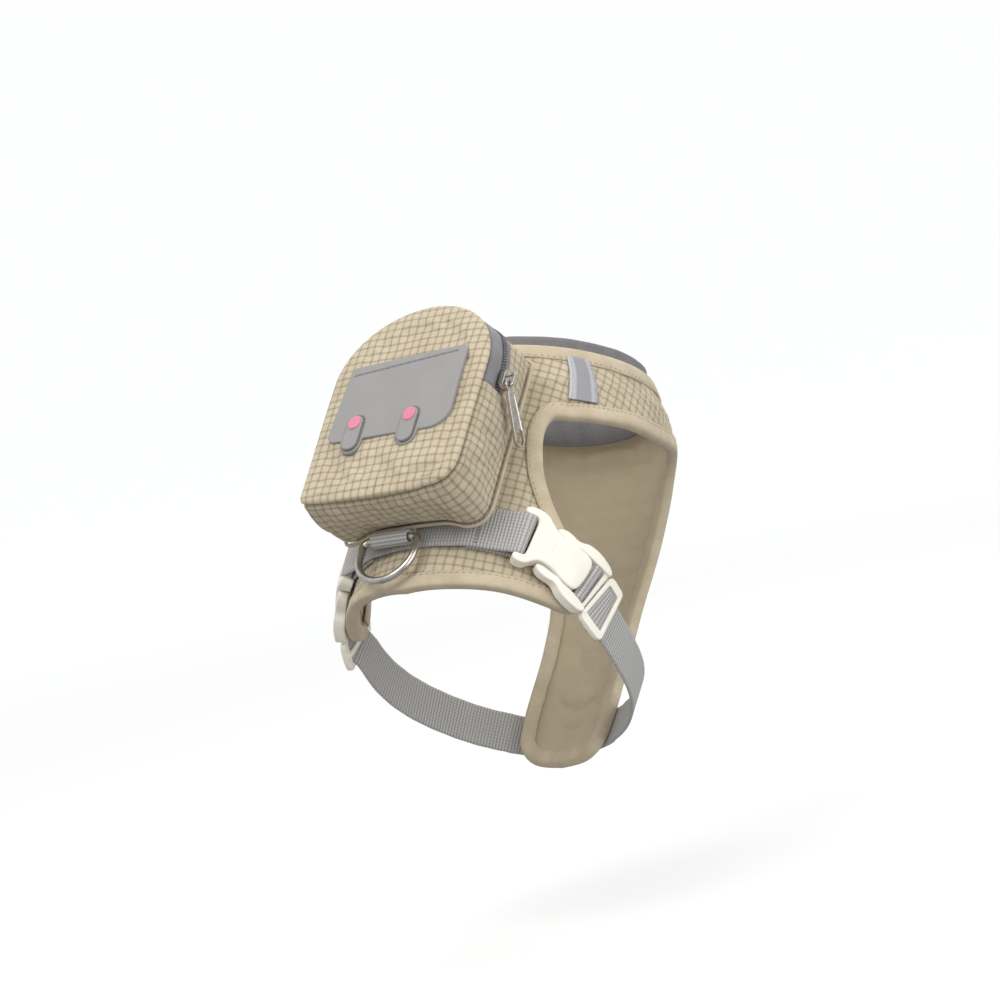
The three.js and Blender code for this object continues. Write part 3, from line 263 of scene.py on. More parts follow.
class Paint:  # a material and its nodes
    def __init__(self, name, owner=None, **constants):
        self.name, self.material = name, owner or bpy.data.materials.new(name)
        self.material.use_nodes = True
        self.tree = self.material.node_tree
        self.shader = self.tree.nodes["Background" if owner else "Principled BSDF"]
        for key, value in constants.items():
            self.shader.inputs[key.replace("_", " ")].default_value = value

    def node(self, kind, settings=None, values=None, output=0):
        made = self.tree.nodes.new(kind)
        for key, value in (settings or {}).items():
            setattr(made, key, value)
        for key, value in (values or {}).items():
            socket = made.inputs[key]
            if isinstance(value, Wire):
                self.tree.links.new(value.socket, socket)
            elif socket.type == "RGBA" and len(value) == 3:
                socket.default_value = (*value, 1)
            else:
                socket.default_value = value
        return Wire(self, made.outputs[output])

    def mix(self, factor, a, b, blend="MIX"):
        return self.node("ShaderNodeMix", {"data_type": "RGBA", "blend_type": blend},
                         {0: factor, 6: a, 7: b}, 2)

    def spots(self):  # object coordinates, in metres
        return self.node("ShaderNodeTexCoord", output="Object")

    def cloth(self):  # the piece's own cloth coordinates, in millimetres
        uv = self.node("ShaderNodeUVMap", {"uv_map": "cloth"})
        u, v = [self.node("ShaderNodeSeparateXYZ", {}, {0: uv}, axis) for axis in (0, 1)]
        return u, v, uv

    def noise(self, where, scale, detail=3, rough=0.5):
        return self.node("ShaderNodeTexNoise", {}, {
            "Vector": where, "Scale": scale, "Detail": detail, "Roughness": rough}, "Fac")

    def feed(self, **links):
        for key, wire in links.items():
            self.tree.links.new(wire.socket, self.shader.inputs[key.replace("_", " ")])
        return self

    def bump(self, height, distance, strength=1.0):
        return self.feed(Normal=self.node("ShaderNodeBump", {}, {
            "Height": height, "Distance": distance, "Strength": strength}))


def srgb(r, g, b):  # a colour as picked from a screen, as light
    return tuple(v / 12.92 if v <= 0.04045 else ((v + 0.055) / 1.055) ** 2.4 for v in (r, g, b))


def weave(paint, u, v, pitch):  # over-and-under threads
    turn = math.pi / pitch
    return ((u * turn).wave() * (v * turn).wave()).size() ** 0.5


def checkedCloth():
    check = {
        "ground": srgb(0.80, 0.752, 0.66),
        "shade": srgb(0.765, 0.715, 0.62),
        "line": (0.70, 0.68, 0.61),  # what a line lets through
        "pitch": 3.9,
        "lineWidth": 0.42,
        "thread": 0.42,
    }
    paint = Paint("checked_cloth", Roughness=0.88, Sheen_Weight=0.1, Sheen_Roughness=0.6)
    u, v, uv = paint.cloth()
    drift = paint.noise(uv, 0.11, 2) - 0.5
    broad = paint.noise(uv, 0.05, 3)
    ground = paint.mix(broad.between(0.35, 0.65), check["ground"], check["shade"])
    fleck = paint.noise(uv, 2.6, 2, 0.7)
    colour = paint.mix(fleck.between(0.3, 0.75) * 0.2, ground, check["shade"], "MULTIPLY")
    worn = paint.noise(uv, 0.9, 4, 0.6).between(0.25, 0.6) * 0.3 + 0.7
    lines = []
    for axis, other in ((u, v), (v, u)):
        wobble = axis + drift * 0.9 + (other * (math.pi / check["thread"] / 1.5)).wave() * 0.06
        edge = ((wobble / check["pitch"]).fraction() - 0.5).size() * 2
        lines.append(edge.between(1 - check["lineWidth"], 1 - check["lineWidth"] * 0.3))
        colour = paint.mix(lines[-1] * worn, colour, check["line"], "MULTIPLY")
    threads = weave(paint, u, v, check["thread"])
    paint.feed(Base_Color=colour, Roughness=0.8 + fleck * 0.15)
    slack = paint.noise(uv, 0.35, 4, 0.55)
    return paint.bump(threads * 0.35 + slack * 0.9 - (lines[0] + lines[1]) * 0.08, 0.00022, 0.7)


def tapePaint(name, colour, shade, thread=0.5, rib=0.0, roughness=0.82):
    paint = Paint(name, Roughness=roughness, Sheen_Weight=0.1)
    u, v, uv = paint.cloth()
    broad = paint.noise(uv, 0.12, 3)
    base = paint.mix(broad.between(0.3, 0.7), colour, shade)
    fine = paint.noise(uv, 2.2, 3, 0.65)
    base = paint.mix(fine.between(0.3, 0.75) * 0.3, base, shade, "MULTIPLY")
    height = weave(paint, u, v, thread) * 0.6 + fine * 0.5
    if rib:
        height = height + (u * (2 * math.pi / rib)).wave() * 0.35
    paint.feed(Base_Color=base, Roughness=roughness - 0.08 + fine * 0.16)
    return paint.bump(height, 0.00016, 0.8)


def webbingPaint():
    web = {
        "colour": srgb(0.745, 0.74, 0.73),
        # darker colour: painted shade in the weave's valleys, and random darker tone
        "valleyShadeAndTone": srgb(0.56, 0.555, 0.545),
        "rib": 1.45,
        "row": 1.6,
    }
    paint = Paint("webbing", Roughness=0.78, Sheen_Weight=0.08)
    u, v, uv = paint.cloth()
    fine = paint.noise(uv, 1.7, 4, 0.65)
    jitter = (fine - 0.5) * 0.3
    ribs = ((u + jitter) * (math.pi / web["rib"])).wave().size()
    rows = ((v + jitter) * (math.pi / web["row"])).wave().size()
    cell = ribs ** 0.7 * (rows ** 0.6 * 0.5 + 0.5)
    # painted shade: where the ribs and rows dip low in the bump, the colour goes to the darker one; the next
    # mix darkens it at random spots
    base = paint.mix(cell.between(0.12, 0.95), web["valleyShadeAndTone"], web["colour"])
    base = paint.mix(fine.between(0.4, 0.8) * 0.3, base, web["valleyShadeAndTone"])
    paint.feed(Base_Color=base, Roughness=0.7 + fine * 0.2)
    return paint.bump(cell + fine * 0.3, 0.0003, 0.9)


def silverPaint():
    tape = {"edge": srgb(0.73, 0.735, 0.75), "middle": srgb(0.62, 0.62, 0.63), "half": 2.6}
    paint = Paint("silver_tape", Roughness=0.42, Metallic=0.35)
    u, v, uv = paint.cloth()
    band = u.size().between(tape["half"] - 0.3, tape["half"] + 0.3)
    grain = paint.noise(uv, 3.0, 3, 0.6)
    base = paint.mix(band, tape["middle"], tape["edge"])
    base = paint.mix(grain.between(0.3, 0.8) * 0.25, base, tape["middle"], "MULTIPLY")
    paint.feed(Base_Color=base, Roughness=0.36 + grain * 0.2)
    return paint.bump(grain + band * 0.8, 0.00012, 0.6)


def plasticPaint():
    paint = Paint("ivory_plastic", Roughness=0.36, IOR=1.49, Coat_Weight=0.12, Coat_Roughness=0.25,
                  Subsurface_Weight=0.06, Subsurface_Scale=0.002)
    where = paint.spots()
    cloud = paint.noise(where, 90, 3)
    base = paint.mix(cloud.between(0.3, 0.7), srgb(0.965, 0.948, 0.905), srgb(0.945, 0.925, 0.875))
    paint.feed(Base_Color=base, Roughness=0.3 + paint.noise(where, 500, 3, 0.6) * 0.16)
    return paint.bump(paint.noise(where, 900, 2), 0.00003, 0.5)


def metalPaint():
    paint = Paint("nickel", Roughness=0.2, Metallic=1.0)
    where = paint.spots()
    smear = paint.noise(where, 260, 4, 0.6)
    base = paint.mix(smear.between(0.35, 0.75), srgb(0.8, 0.785, 0.76), srgb(0.68, 0.665, 0.64))
    paint.feed(Base_Color=base, Roughness=0.12 + smear * 0.22)
    return paint.bump(paint.noise(where, 1400, 3, 0.6), 0.00002, 0.5)


def rubberPaint(name, colour, shade):
    paint = Paint(name, Roughness=0.55, Specular_IOR_Level=0.35)
    where = paint.spots()
    cloud = paint.noise(where, 60, 3)
    base = paint.mix(cloud.between(0.3, 0.7), colour, shade)
    grain = paint.noise(where, 1500, 2, 0.6)
    paint.feed(Base_Color=base, Roughness=0.48 + grain * 0.18)
    return paint.bump(grain, 0.00004, 0.5)


def coilPaint():
    paint = Paint("grey_coil", Roughness=0.4)
    where = paint.spots()
    cloud = paint.noise(where, 400, 3).between(0.3, 0.7)
    return paint.feed(Base_Color=paint.mix(cloud, srgb(0.52, 0.52, 0.54), srgb(0.42, 0.42, 0.44)))


def threadPaint(name, colour):
    paint = Paint(name, Roughness=0.7)
    where = paint.spots()
    twist = paint.noise(where, 2500, 2)
    return paint.feed(Base_Color=paint.mix(twist, colour, tuple(v * 0.75 for v in colour)))


def pagePaint():  # white far off, and paler grey near the object so that its shadow shows
    paint = Paint("floor", Roughness=0.9, Specular_IOR_Level=0.1, Emission_Strength=1)
    where = paint.spots()
    far = paint.node("ShaderNodeVectorMath", {"operation": "LENGTH"}, {0: where}, "Value").between(0.5, 2.0)
    base = paint.mix(far, (0.5, 0.5, 0.5), (0, 0, 0))
    return paint.feed(Base_Color=base, Emission_Color=paint.mix(far, (0.42, 0.42, 0.42), (0.98, 0.985, 0.99)))


paints = {paint.name: paint.material for paint in (
    checkedCloth(),
    tapePaint("tan_tape", srgb(0.815, 0.762, 0.665), srgb(0.765, 0.708, 0.605)),
    tapePaint("tan_cloth", srgb(0.79, 0.737, 0.635), srgb(0.77, 0.716, 0.614), thread=0.9),
    tapePaint("grey_tape", srgb(0.575, 0.568, 0.58), srgb(0.535, 0.528, 0.54), thread=0.35, rib=0.8),
    webbingPaint(),
    silverPaint(),
    plasticPaint(),
    metalPaint(),
    rubberPaint("grey_rubber", srgb(0.59, 0.584, 0.578), srgb(0.575, 0.57, 0.564)),
    rubberPaint("pink_rubber", srgb(0.86, 0.53, 0.63), srgb(0.83, 0.5, 0.6)),
    coilPaint(),
    threadPaint("tan_thread", srgb(0.7, 0.64, 0.53)),
    threadPaint("grey_thread", srgb(0.36, 0.36, 0.38)),
    threadPaint("blue_grey_thread", srgb(0.42, 0.46, 0.55)),
    pagePaint(),
)}
print("materials")


# mesh helpers
def finishMesh(name, bm, paint):
    data = bpy.data.meshes.new(name)
    bm.to_mesh(data)
    bm.free()
    data.shade_smooth()
    data.materials.append(paints[paint])
    made = bpy.data.objects.new(name, data)
    bpy.context.scene.collection.objects.link(made)
    return made


def fit(made, node=None, body="harness"):  # hangs a finished piece on its body
    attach(made, body)
    if node:
        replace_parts(made, node)
    return made


def runLength(points):  # how far along a line of points each of them lies
    return np.concatenate([[0], np.cumsum(np.linalg.norm(np.diff(points, axis=0), axis=1))])


def pick(rows, i):  # rows by whole number, round and round
    return rows[i.round().astype(int) % len(rows)]


def bend(across, along, place, uv):  # a grid of quads, bent to shape, with cloth coordinates
    bm = bmesh.new()
    bmesh.ops.create_grid(bm, x_segments=across, y_segments=along, size=0.5)
    bm.verts.ensure_lookup_table()
    spots = np.array([v.co[:2] for v in bm.verts]) + 0.5
    i, k = spots[:, 0] * across, spots[:, 1] * along
    points = toRow(place(i, k))
    marks = uv(i, k)
    layer = bm.loops.layers.uv.new("cloth")
    for vert, point in zip(bm.verts, points):
        vert.co = point
    for face in bm.faces:
        for loop in face.loops:
            loop[layer].uv = marks[loop.vert.index]
    return bm


def closeUp(bm, caps=True):  # joins a tube's long seam, and fills its ends
    bmesh.ops.remove_doubles(bm, verts=bm.verts, dist=1e-6)
    edges = [e for e in bm.edges if e.is_boundary] if caps else []
    if edges:
        bmesh.ops.holes_fill(bm, edges=edges, sides=0)
    bmesh.ops.recalc_face_normals(bm, faces=bm.faces)
    return bm


def turnOut(bm, face, centre):  # turns a whole sheet that faces its centre, given in body axes
    if face.normal.dot(face.calc_center_median() - Vector(toRow(centre)[:])) < 0:
        bmesh.ops.reverse_faces(bm, faces=bm.faces)


def modify(made, kind, **settings):
    change = made.modifiers.new(kind.lower(), kind)
    for key, value in settings.items():
        setattr(change, key, value)
    return made


def bake(made):  # turns the modifiers into mesh
    graph = bpy.context.evaluated_depsgraph_get()
    data = bpy.data.meshes.new_from_object(made.evaluated_get(graph))
    made.modifiers.clear()
    made.data = data
    return made


def thicken(made, thickness, **settings):  # gives a sheet its wall, in millimetres
    bake(modify(made, "SOLIDIFY", thickness=thickness * mm, **settings))
    made.data.shade_smooth()
    return made


def melt(made, voxel, rounds):  # fuses overlapping shapes and rounds their edges off
    modify(made, "REMESH", mode="VOXEL", voxel_size=voxel, use_smooth_shade=True)
    modify(made, "CORRECTIVE_SMOOTH", iterations=rounds, factor=0.5, smooth_type="SIMPLE",
           use_only_smooth=True)
    return bake(made)


def mirroredCopy(made):  # the left piece from the right one
    copy = made.copy()
    copy.data = made.data.copy()
    copy.name = copy.data.name = made.name.replace("_right", "_left")
    if "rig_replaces" in copy:
        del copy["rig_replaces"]
    copy.data.transform(Matrix.Scale(-1, 4, (1, 0, 0)))
    copy.data.flip_normals()
    bpy.context.scene.collection.objects.link(copy)
    return copy


def beads(name, spots, headings, normals, size, paint):  # a run of stitches or zip teeth
    bm = bmesh.new()
    scale = Matrix.Diagonal((*[side * mm / 2 for side in size], 1))
    for spot, heading, normal in zip(toRow(spots), unit(toRow(headings)), unit(toRow(normals))):
        x, z = Vector(heading), Vector(normal)
        turn = Matrix((x, z.cross(x).normalized(), z)).transposed().to_4x4()
        turn.translation = Vector(spot)
        bmesh.ops.create_icosphere(bm, subdivisions=1, radius=1, matrix=turn @ scale)
    return finishMesh(name, bm, paint)


settling = {
    "frames": 20, "mass": 0.15, "growth": 0.02, "stiffness": 12, "bending": 0.4, "quality": 6,
    "pieces": {  # pressure, how far a point may move, and how far in from a seam it is held, in mm
        "vest_back": (0.3, 0.8, 8),
        "vest_chest": (0.12, 0.8, 8),
        "pack_wall": (0.5, 0.9, 1.2),
        "pack_wall_top": (0.5, 0.9, 1.2),
        "pack_front_panel": (0.35, 1.0, 3.5),
    },
}


def settle(made):  # simulates a padded sheet held at its seams, and keeps the result
    if made.name not in settling["pieces"]:
        return made
    pressure, cap, held = settling["pieces"][made.name]
    bm = bmesh.new()
    bm.from_mesh(made.data)
    rim = [v.co.copy() for v in bm.verts if v.is_boundary]
    tree = KDTree(len(rim))
    for index, point in enumerate(rim):
        tree.insert(point, index)
    tree.balance()
    group = made.vertex_groups.new(name="seams")
    for v in bm.verts:
        group.add([v.index], 1 - float(smooth(tree.find(v.co)[2] / mm, held, held * 2.5)), "REPLACE")
    bm.free()
    start = np.array([v.co[:] for v in made.data.vertices])
    cloth = made.modifiers.new("cloth", "CLOTH")
    cloth.settings.vertex_group_mass = "seams"
    cloth.settings.mass = settling["mass"]
    cloth.settings.quality = settling["quality"]
    cloth.settings.tension_stiffness = cloth.settings.compression_stiffness = settling["stiffness"]
    cloth.settings.shear_stiffness = settling["stiffness"] / 2
    cloth.settings.bending_stiffness = settling["bending"]
    cloth.settings.shrink_min = -settling["growth"]
    cloth.settings.use_pressure, cloth.settings.uniform_pressure_force = True, pressure
    cloth.settings.effector_weights.gravity = 0
    cloth.collision_settings.use_collision = cloth.collision_settings.use_self_collision = False
    cloth.point_cache.frame_end = settling["frames"]
    for step in range(1, settling["frames"] + 1):
        bpy.context.scene.frame_set(step)
    moved = made.evaluated_get(bpy.context.evaluated_depsgraph_get()).data
    shift = np.array([v.co[:] for v in moved.vertices]) - start
    far = np.linalg.norm(shift, axis=1, keepdims=True)
    shift = shift * np.minimum(1, cap * mm / np.maximum(far, 1e-9))
    made.modifiers.clear()
    made.vertex_groups.clear()
    bpy.context.scene.frame_set(1)
    for vert, point in zip(made.data.vertices, start + shift):
        vert.co = point
    print("settled", made.name, "by up to", round(float(far.max()) / mm, 2), "mm, kept under", cap)
    return made


def fitBoth(made, node=None):  # the right piece, and the left one as its mirror image
    for piece, side in ((made, "_right"), (mirroredCopy(made), "_left")):
        fit(piece, node and node + side)


def ripple(u, v, seed=0.0):  # slack in cloth, from -1 to 1, the same every run
    return (np.sin(u * 0.21 + v * 0.13 + seed) * 0.5 + np.sin(u * 0.09 - v * 0.31 + seed * 1.7) * 0.3
            + np.sin(u * 0.47 + v * 0.39 + seed * 2.3) * 0.2)


# cloth coordinates: each ring of the form is laid out flat by its own curve
def flatTable():
    ats, turns = np.linspace(-1.15, 1.2, 95), np.arange(0, 361, 2.0)
    table = np.zeros((len(ats), len(turns), 2))
    for row, at in enumerate(ats):
        points = torso(turns, np.full_like(turns, at))
        normals = torsoFrame(turns, np.full_like(turns, at))[2]
        tangents = unit(np.gradient(points, axis=0))
        bendUp = (normals[:-1] * np.cross(tangents[:-1], tangents[1:])).sum(-1)
        heading = np.concatenate([[0], np.cumsum(bendUp)])
        step = np.linalg.norm(np.diff(points, axis=0), axis=1)
        middle = (heading[:-1] + heading[1:]) / 2
        along = at * (form["rearReach"] if at < 0 else form["neckReach"])
        table[row, :, 0] = np.concatenate([[0], np.cumsum(np.cos(middle) * step)])
        table[row, :, 1] = along + np.concatenate([[0], np.cumsum(np.sin(middle) * step)])
    return ats, turns, table


flatAts, flatTurns, flatSpots = flatTable()


def laidFlat(around, at):  # cloth coordinates of a spot on the form
    size = np.abs(around)
    r = np.clip((at - flatAts[0]) / (flatAts[1] - flatAts[0]), 0, len(flatAts) - 1.001)
    c = np.clip(size / 2.0, 0, len(flatTurns) - 1.001)
    i, k = r.astype(int), c.astype(int)
    fr, fc = (r - i)[:, None], (c - k)[:, None]
    flat = ((flatSpots[i, k] * (1 - fc) + flatSpots[i, k + 1] * fc) * (1 - fr)
            + (flatSpots[i + 1, k] * (1 - fc) + flatSpots[i + 1, k + 1] * fc) * fr)
    return flat * np.stack([np.where(np.asarray(around) < 0, -1.0, 1.0), np.ones(len(flat))], -1)


# the vest's outer edge, right side, from the spine at the rear round to the belly
vestEdge = [(0, -0.978), (20, -0.944), (39, -0.9), (58, -0.87), (66, -0.85), (70, -0.81), (71.2, -0.74),
            (70, -0.66), (66.5, -0.58), (61, -0.487), (55.4, -0.405), (47.7, -0.263), (41.8, -0.093),
            (38.7, 0.13), (38.8, 0.3), (41.5, 0.4), (48, 0.44), (58, 0.5), (75, 0.59), (93, 0.645),
            (112, 0.71), (128, 0.735), (138, 0.69), (147, 0.55), (153, 0.35), (157, 0.1), (158.5, -0.2),
            (158.5, -0.72), (160.5, -0.88), (167, -0.96), (180, -0.985)]
edgeRow = {"spine": 0, "tabRear": 5, "tabEnd": 6, "tabFront": 7, "yokeCorner": 15, "chestSeam": 21,
           "belly": 30}


def edgeCurve():  # centripetal curve through the edge's rows, sampled finely
    p = np.array(vestEdge, float) * (1, 100)
    p = np.vstack([2 * p[0] - p[1], p, 2 * p[-1] - p[-2]])
    spots = []
    for i in range(len(p) - 3):
        x = p[i:i + 4]
        dt = np.sqrt(np.linalg.norm(np.diff(x, axis=0), axis=1))
        t1 = ((x[1] - x[0]) / dt[0] - (x[2] - x[0]) / (dt[0] + dt[1]) + (x[2] - x[1]) / dt[1]) * dt[1]
        t2 = ((x[2] - x[1]) / dt[1] - (x[3] - x[1]) / (dt[1] + dt[2]) + (x[3] - x[2]) / dt[2]) * dt[1]
        for w in np.arange(0, 1, 0.05):
            spots.append(x[1] + t1 * w + (-3 * x[1] + 3 * x[2] - 2 * t1 - t2) * w**2
                         + (2 * x[1] - 2 * x[2] + t1 + t2) * w**3)
    spots.append(p[-2])
    return np.array(spots) / (1, 100)


edgeSpots = edgeCurve()


def edgeAt(row):  # spots on the edge, by row and share of a row
    places = np.arange(len(edgeSpots)) * 0.05
    return np.interp(row, places, edgeSpots[:, 0]), np.interp(row, places, edgeSpots[:, 1])


def between(start, end, count, skip=0):
    return np.linspace(start, end, count + 1)[skip:]


# vest panels
panel = {
    "puff": 0.5,  # how much fuller the padding stands between its edges, before it settles
    "backSlack": 0.22,
    "chestSlack": 0.08,
    "legSteps": 44,
    "spineSteps": 32,
    "yokeSteps": 60,
    "acrossSteps": 22,
    "seamSteps": 14,
    "sideSteps": 70,
    "lap": 127.5,  # where the chest starts, under the yoke's end
}


def panelSheet(name, inner, outer, node, paint, slack):
    count = len(inner[0]) - 1

    def spot(i, k):
        t = i / panel["acrossSteps"]
        t = t * 0.7 + 0.3 * (0.5 - 0.5 * np.cos(np.pi * t))
        a, b = [np.interp(k, np.arange(count + 1), side[0]) for side in (inner, outer)]
        c, d = [np.interp(k, np.arange(count + 1), side[1]) for side in (inner, outer)]
        return a + (b - a) * t, c + (d - c) * t

    def place(i, k):
        around, at = spot(i, k)
        flat = laidFlat(around, at)
        inward = np.minimum(np.linalg.norm(torso(around, at) - torso(*spot(i * 0, k)), axis=-1), 30)
        swell = smooth(inward, 4.5, 10) * panel["puff"]
        swell = swell + ripple(flat[:, 0], flat[:, 1]) * slack * smooth(inward, 5, 14)
        return onTorso(around, at, form["cloth"] + swell - 0.1)

    bm = bend(panel["acrossSteps"], count, place, lambda i, k: laidFlat(*spot(i, k)))
    bmesh.ops.remove_doubles(bm, verts=bm.verts, dist=2e-5)
    for v in bm.verts:
        if abs(v.co.x) < 2e-5:
            v.co.x = 0
    geometry = bm.verts[:] + bm.edges[:] + bm.faces[:]
    bmesh.ops.mirror(bm, geom=geometry, matrix=Matrix.Identity(4), merge_dist=1e-5, axis="X")
    bmesh.ops.recalc_face_normals(bm, faces=bm.faces)
    turnOut(bm, max(bm.faces, key=lambda f: abs(f.normal.z) * f.calc_area()), (0, 0, -form["depth"] / 2))
    made = settle(finishMesh(name, bm, paint))
    thicken(made, form["cloth"] - 0.2, offset=-1, use_even_offset=False)
    fit(made, node)


def makePanels():
    middleRow = (edgeRow["tabFront"] + edgeRow["yokeCorner"]) / 2
    yokeEnd = edgeRow["chestSeam"] - 0.01
    rows = np.concatenate([
        between(edgeRow["tabFront"], middleRow, panel["legSteps"]),
        between(middleRow, edgeRow["yokeCorner"], panel["spineSteps"], 1),
        between(edgeRow["yokeCorner"], yokeEnd, panel["yokeSteps"], 1)])
    rear = edgeAt(between(edgeRow["tabRear"], edgeRow["spine"], panel["legSteps"]))
    spine = between(vestEdge[0][1], 1, panel["spineSteps"], 1)
    neck = between(0, 127.85, panel["yokeSteps"], 1)
    outer = (np.concatenate([rear[0], spine * 0, neck]), np.concatenate([rear[1], spine, neck * 0 + 1]))
    panelSheet("vest_back", edgeAt(rows), outer, "back_panel", "checked_cloth", panel["backSlack"])
    seamSteps, sideSteps = panel["seamSteps"], panel["sideSteps"]
    seam = between(1, vestEdge[edgeRow["chestSeam"]][1], seamSteps)
    side = edgeAt(between(edgeRow["chestSeam"], edgeRow["belly"], sideSteps, 1))
    inner = (np.concatenate([seam * 0 + panel["lap"], side[0]]), np.concatenate([seam, side[1]]))
    middle = np.concatenate([between(1, 0.9, seamSteps), between(0.9, vestEdge[-1][1], sideSteps, 1)])
    outer = (middle * 0 + 180, middle)
    panelSheet("vest_chest", inner, outer, "chest_panel", "tan_cloth", panel["chestSlack"])
    print("vest panels")


# folded tape over the raw edges
tape = {
    "thickness": 0.9,
    "width": 7,
    "stitchPitch": 2.5,
    "stitch": 1.55,
    "thread": 0.42,
    "pucker": 0.16,
    "rearSteps": 90,
    "legSteps": 380,
    "neckSteps": 240,
    "legStart": 0.36,  # past the tab's end, where the rear tape stops
}


def foldSection():  # how far in from the edge, and how high, round the folded tape
    t, gap = tape["thickness"], form["gap"]
    reach = tape["width"] - gap - t
    low, high = -2 * gap, form["cloth"] + gap
    fold = -gap - t
    return np.array([
        (reach, high), (reach + 0.1, high + t * 0.5), (reach - 0.25, high + t * 0.95),
        (reach - 1.1, high + t * 0.82), (reach - 2.2, high + t * 1.05), (reach * 0.35, high + t * 1.12),
        (0.9, high + t * 1.02),
        (fold + 0.75, high + t * 0.78), (fold + 0.22, high + t * 0.1), (fold, high * 0.45), (fold + 0.2, low),
        (fold + 0.7, low - t * 0.75), (0.9, low - t), (reach * 0.5, low - t), (reach - 0.2, low - t * 0.95),
        (reach, low - t * 0.4), (reach, low), (-gap, low), (-gap, high)])


def edgeFrame(around, at, loop):
    points = torso(around, at)
    if loop:
        heading = unit(np.roll(points, -1, axis=0) - np.roll(points, 1, axis=0))
    else:
        heading = unit(np.gradient(points, axis=0))
    inward = unit(np.cross(torsoFrame(around, at)[2], heading))
    return points, heading, inward


def binding(name, around, at, node, loop=False):
    section = foldSection()
    points, heading, inward = edgeFrame(around, at, loop)
    steps = np.linalg.norm(np.diff(points, axis=0), axis=1)
    length = np.concatenate([[0], np.cumsum(steps)])
    count, sides = len(around), len(section)
    around, at = np.asarray(around, float), np.asarray(at, float)

    def place(i, k):
        row, corner = pick(np.arange(count), k), pick(section, i)
        wave = np.sin(length[row] / tape["stitchPitch"] * 2 * np.pi) * tape["pucker"]
        onTop = (corner[:, 1] > form["cloth"]) * smooth(corner[:, 0], 1, 5)
        a, b = slide(around[row], at[row], inward[row], corner[:, 0] + wave * 0.5 * onTop)
        slack = ripple(length[row] * 1.3, corner[:, 0] * 3, 2.0) * 0.07
        return onTorso(a, b, corner[:, 1] + (wave + slack) * onTop)

    def uv(i, k):
        row = k.round().astype(int)
        far = length[np.minimum(row, count - 1)] + (row >= count) * steps[-1]
        return np.stack([far, i * 0.9], -1)

    bm = bend(sides, count if loop else count - 1, place, uv)
    made = fit(finishMesh(name, closeUp(bm, caps=not loop), "tan_tape"), node)
    index = np.arange(count)
    where = np.interp(np.arange(tape["stitchPitch"] * 0.5, length[-1], tape["stitchPitch"]), length, index)
    a, b = np.interp(where, index, around), np.interp(where, index, at)
    h, w = [np.stack([np.interp(where, index, v[:, q]) for q in range(3)], -1) for v in (heading, inward)]
    reach = tape["width"] - form["gap"] - tape["thickness"]
    a, b = slide(a, b, w, reach - 1.15)
    lift = form["cloth"] + form["gap"] + tape["thickness"] * 0.9
    size = (tape["stitch"], tape["thread"], tape["thread"])
    run = beads(name + "_stitches", onTorso(a, b, lift), h, torsoFrame(a, b)[2], size, "tan_thread")
    return made, fit(run)


def makeBindings():
    half = edgeAt(between(edgeRow["spine"], edgeRow["tabEnd"], tape["rearSteps"]))
    rear = (np.concatenate([-half[0][1:][::-1], half[0]]), np.concatenate([half[1][1:][::-1], half[1]]))
    binding("rear_edge_tape", *rear, "rear_binding")
    leg = edgeAt(between(edgeRow["tabEnd"] + tape["legStart"], edgeRow["belly"] - 0.001, tape["legSteps"]))
    made, run = binding("leg_edge_tape_right", *leg, "leg_binding_right")
    fit(mirroredCopy(made), "leg_binding_left")
    fit(mirroredCopy(run))
    turns = np.linspace(0, -360, tape["neckSteps"] + 1)[:-1]
    binding("neck_edge_tape", turns, turns * 0 + 1, "neck_binding", loop=True)
    print("edge tapes and their stitches")


# collar lining
lining = {"stand": 6.5, "tuck": 4.5, "flare": 3, "thickness": 1, "steps": 180}


def makeLining():
    under = -5 * form["gap"] - tape["thickness"]
    past = tape["thickness"] + form["gap"]
    t = lining["thickness"]
    line = [(-lining["tuck"], under), (-2.0, under), (past, under + 0.1), (3.0, under + 0.8),
            (lining["stand"] - 1.2, under + lining["flare"] * 0.78),
            (lining["stand"] - 0.1, under + lining["flare"])]
    back = [(p + 0.25, lift - t) for p, lift in line[::-1]]
    rim = [(lining["stand"] + 0.35, under + lining["flare"] - t * 0.35)]
    section = np.array(line + rim + back)
    count = lining["steps"]

    def place(i, k):
        corner, around = pick(section, i), k * 360 / count
        wave = ripple(around * 0.9, corner[:, 0], 4) * 0.25 * smooth(corner[:, 0], 0, 4)
        return onTorso(around, 1 + corner[:, 0] / form["neckReach"], corner[:, 1] + wave)

    bm = closeUp(bend(len(section), count, place, lambda i, k: np.stack([k * 1.7, i * 1.5], -1)), caps=False)
    fit(finishMesh("collar_lining", bm, "grey_tape"), "neck_lining")


# silver strips on the shoulders
shoulder = {"neck": (46.5, 57.5), "leg": (45.5, 58), "legAt": (0.562, 0.607), "thickness": 0.5, "width": 10}


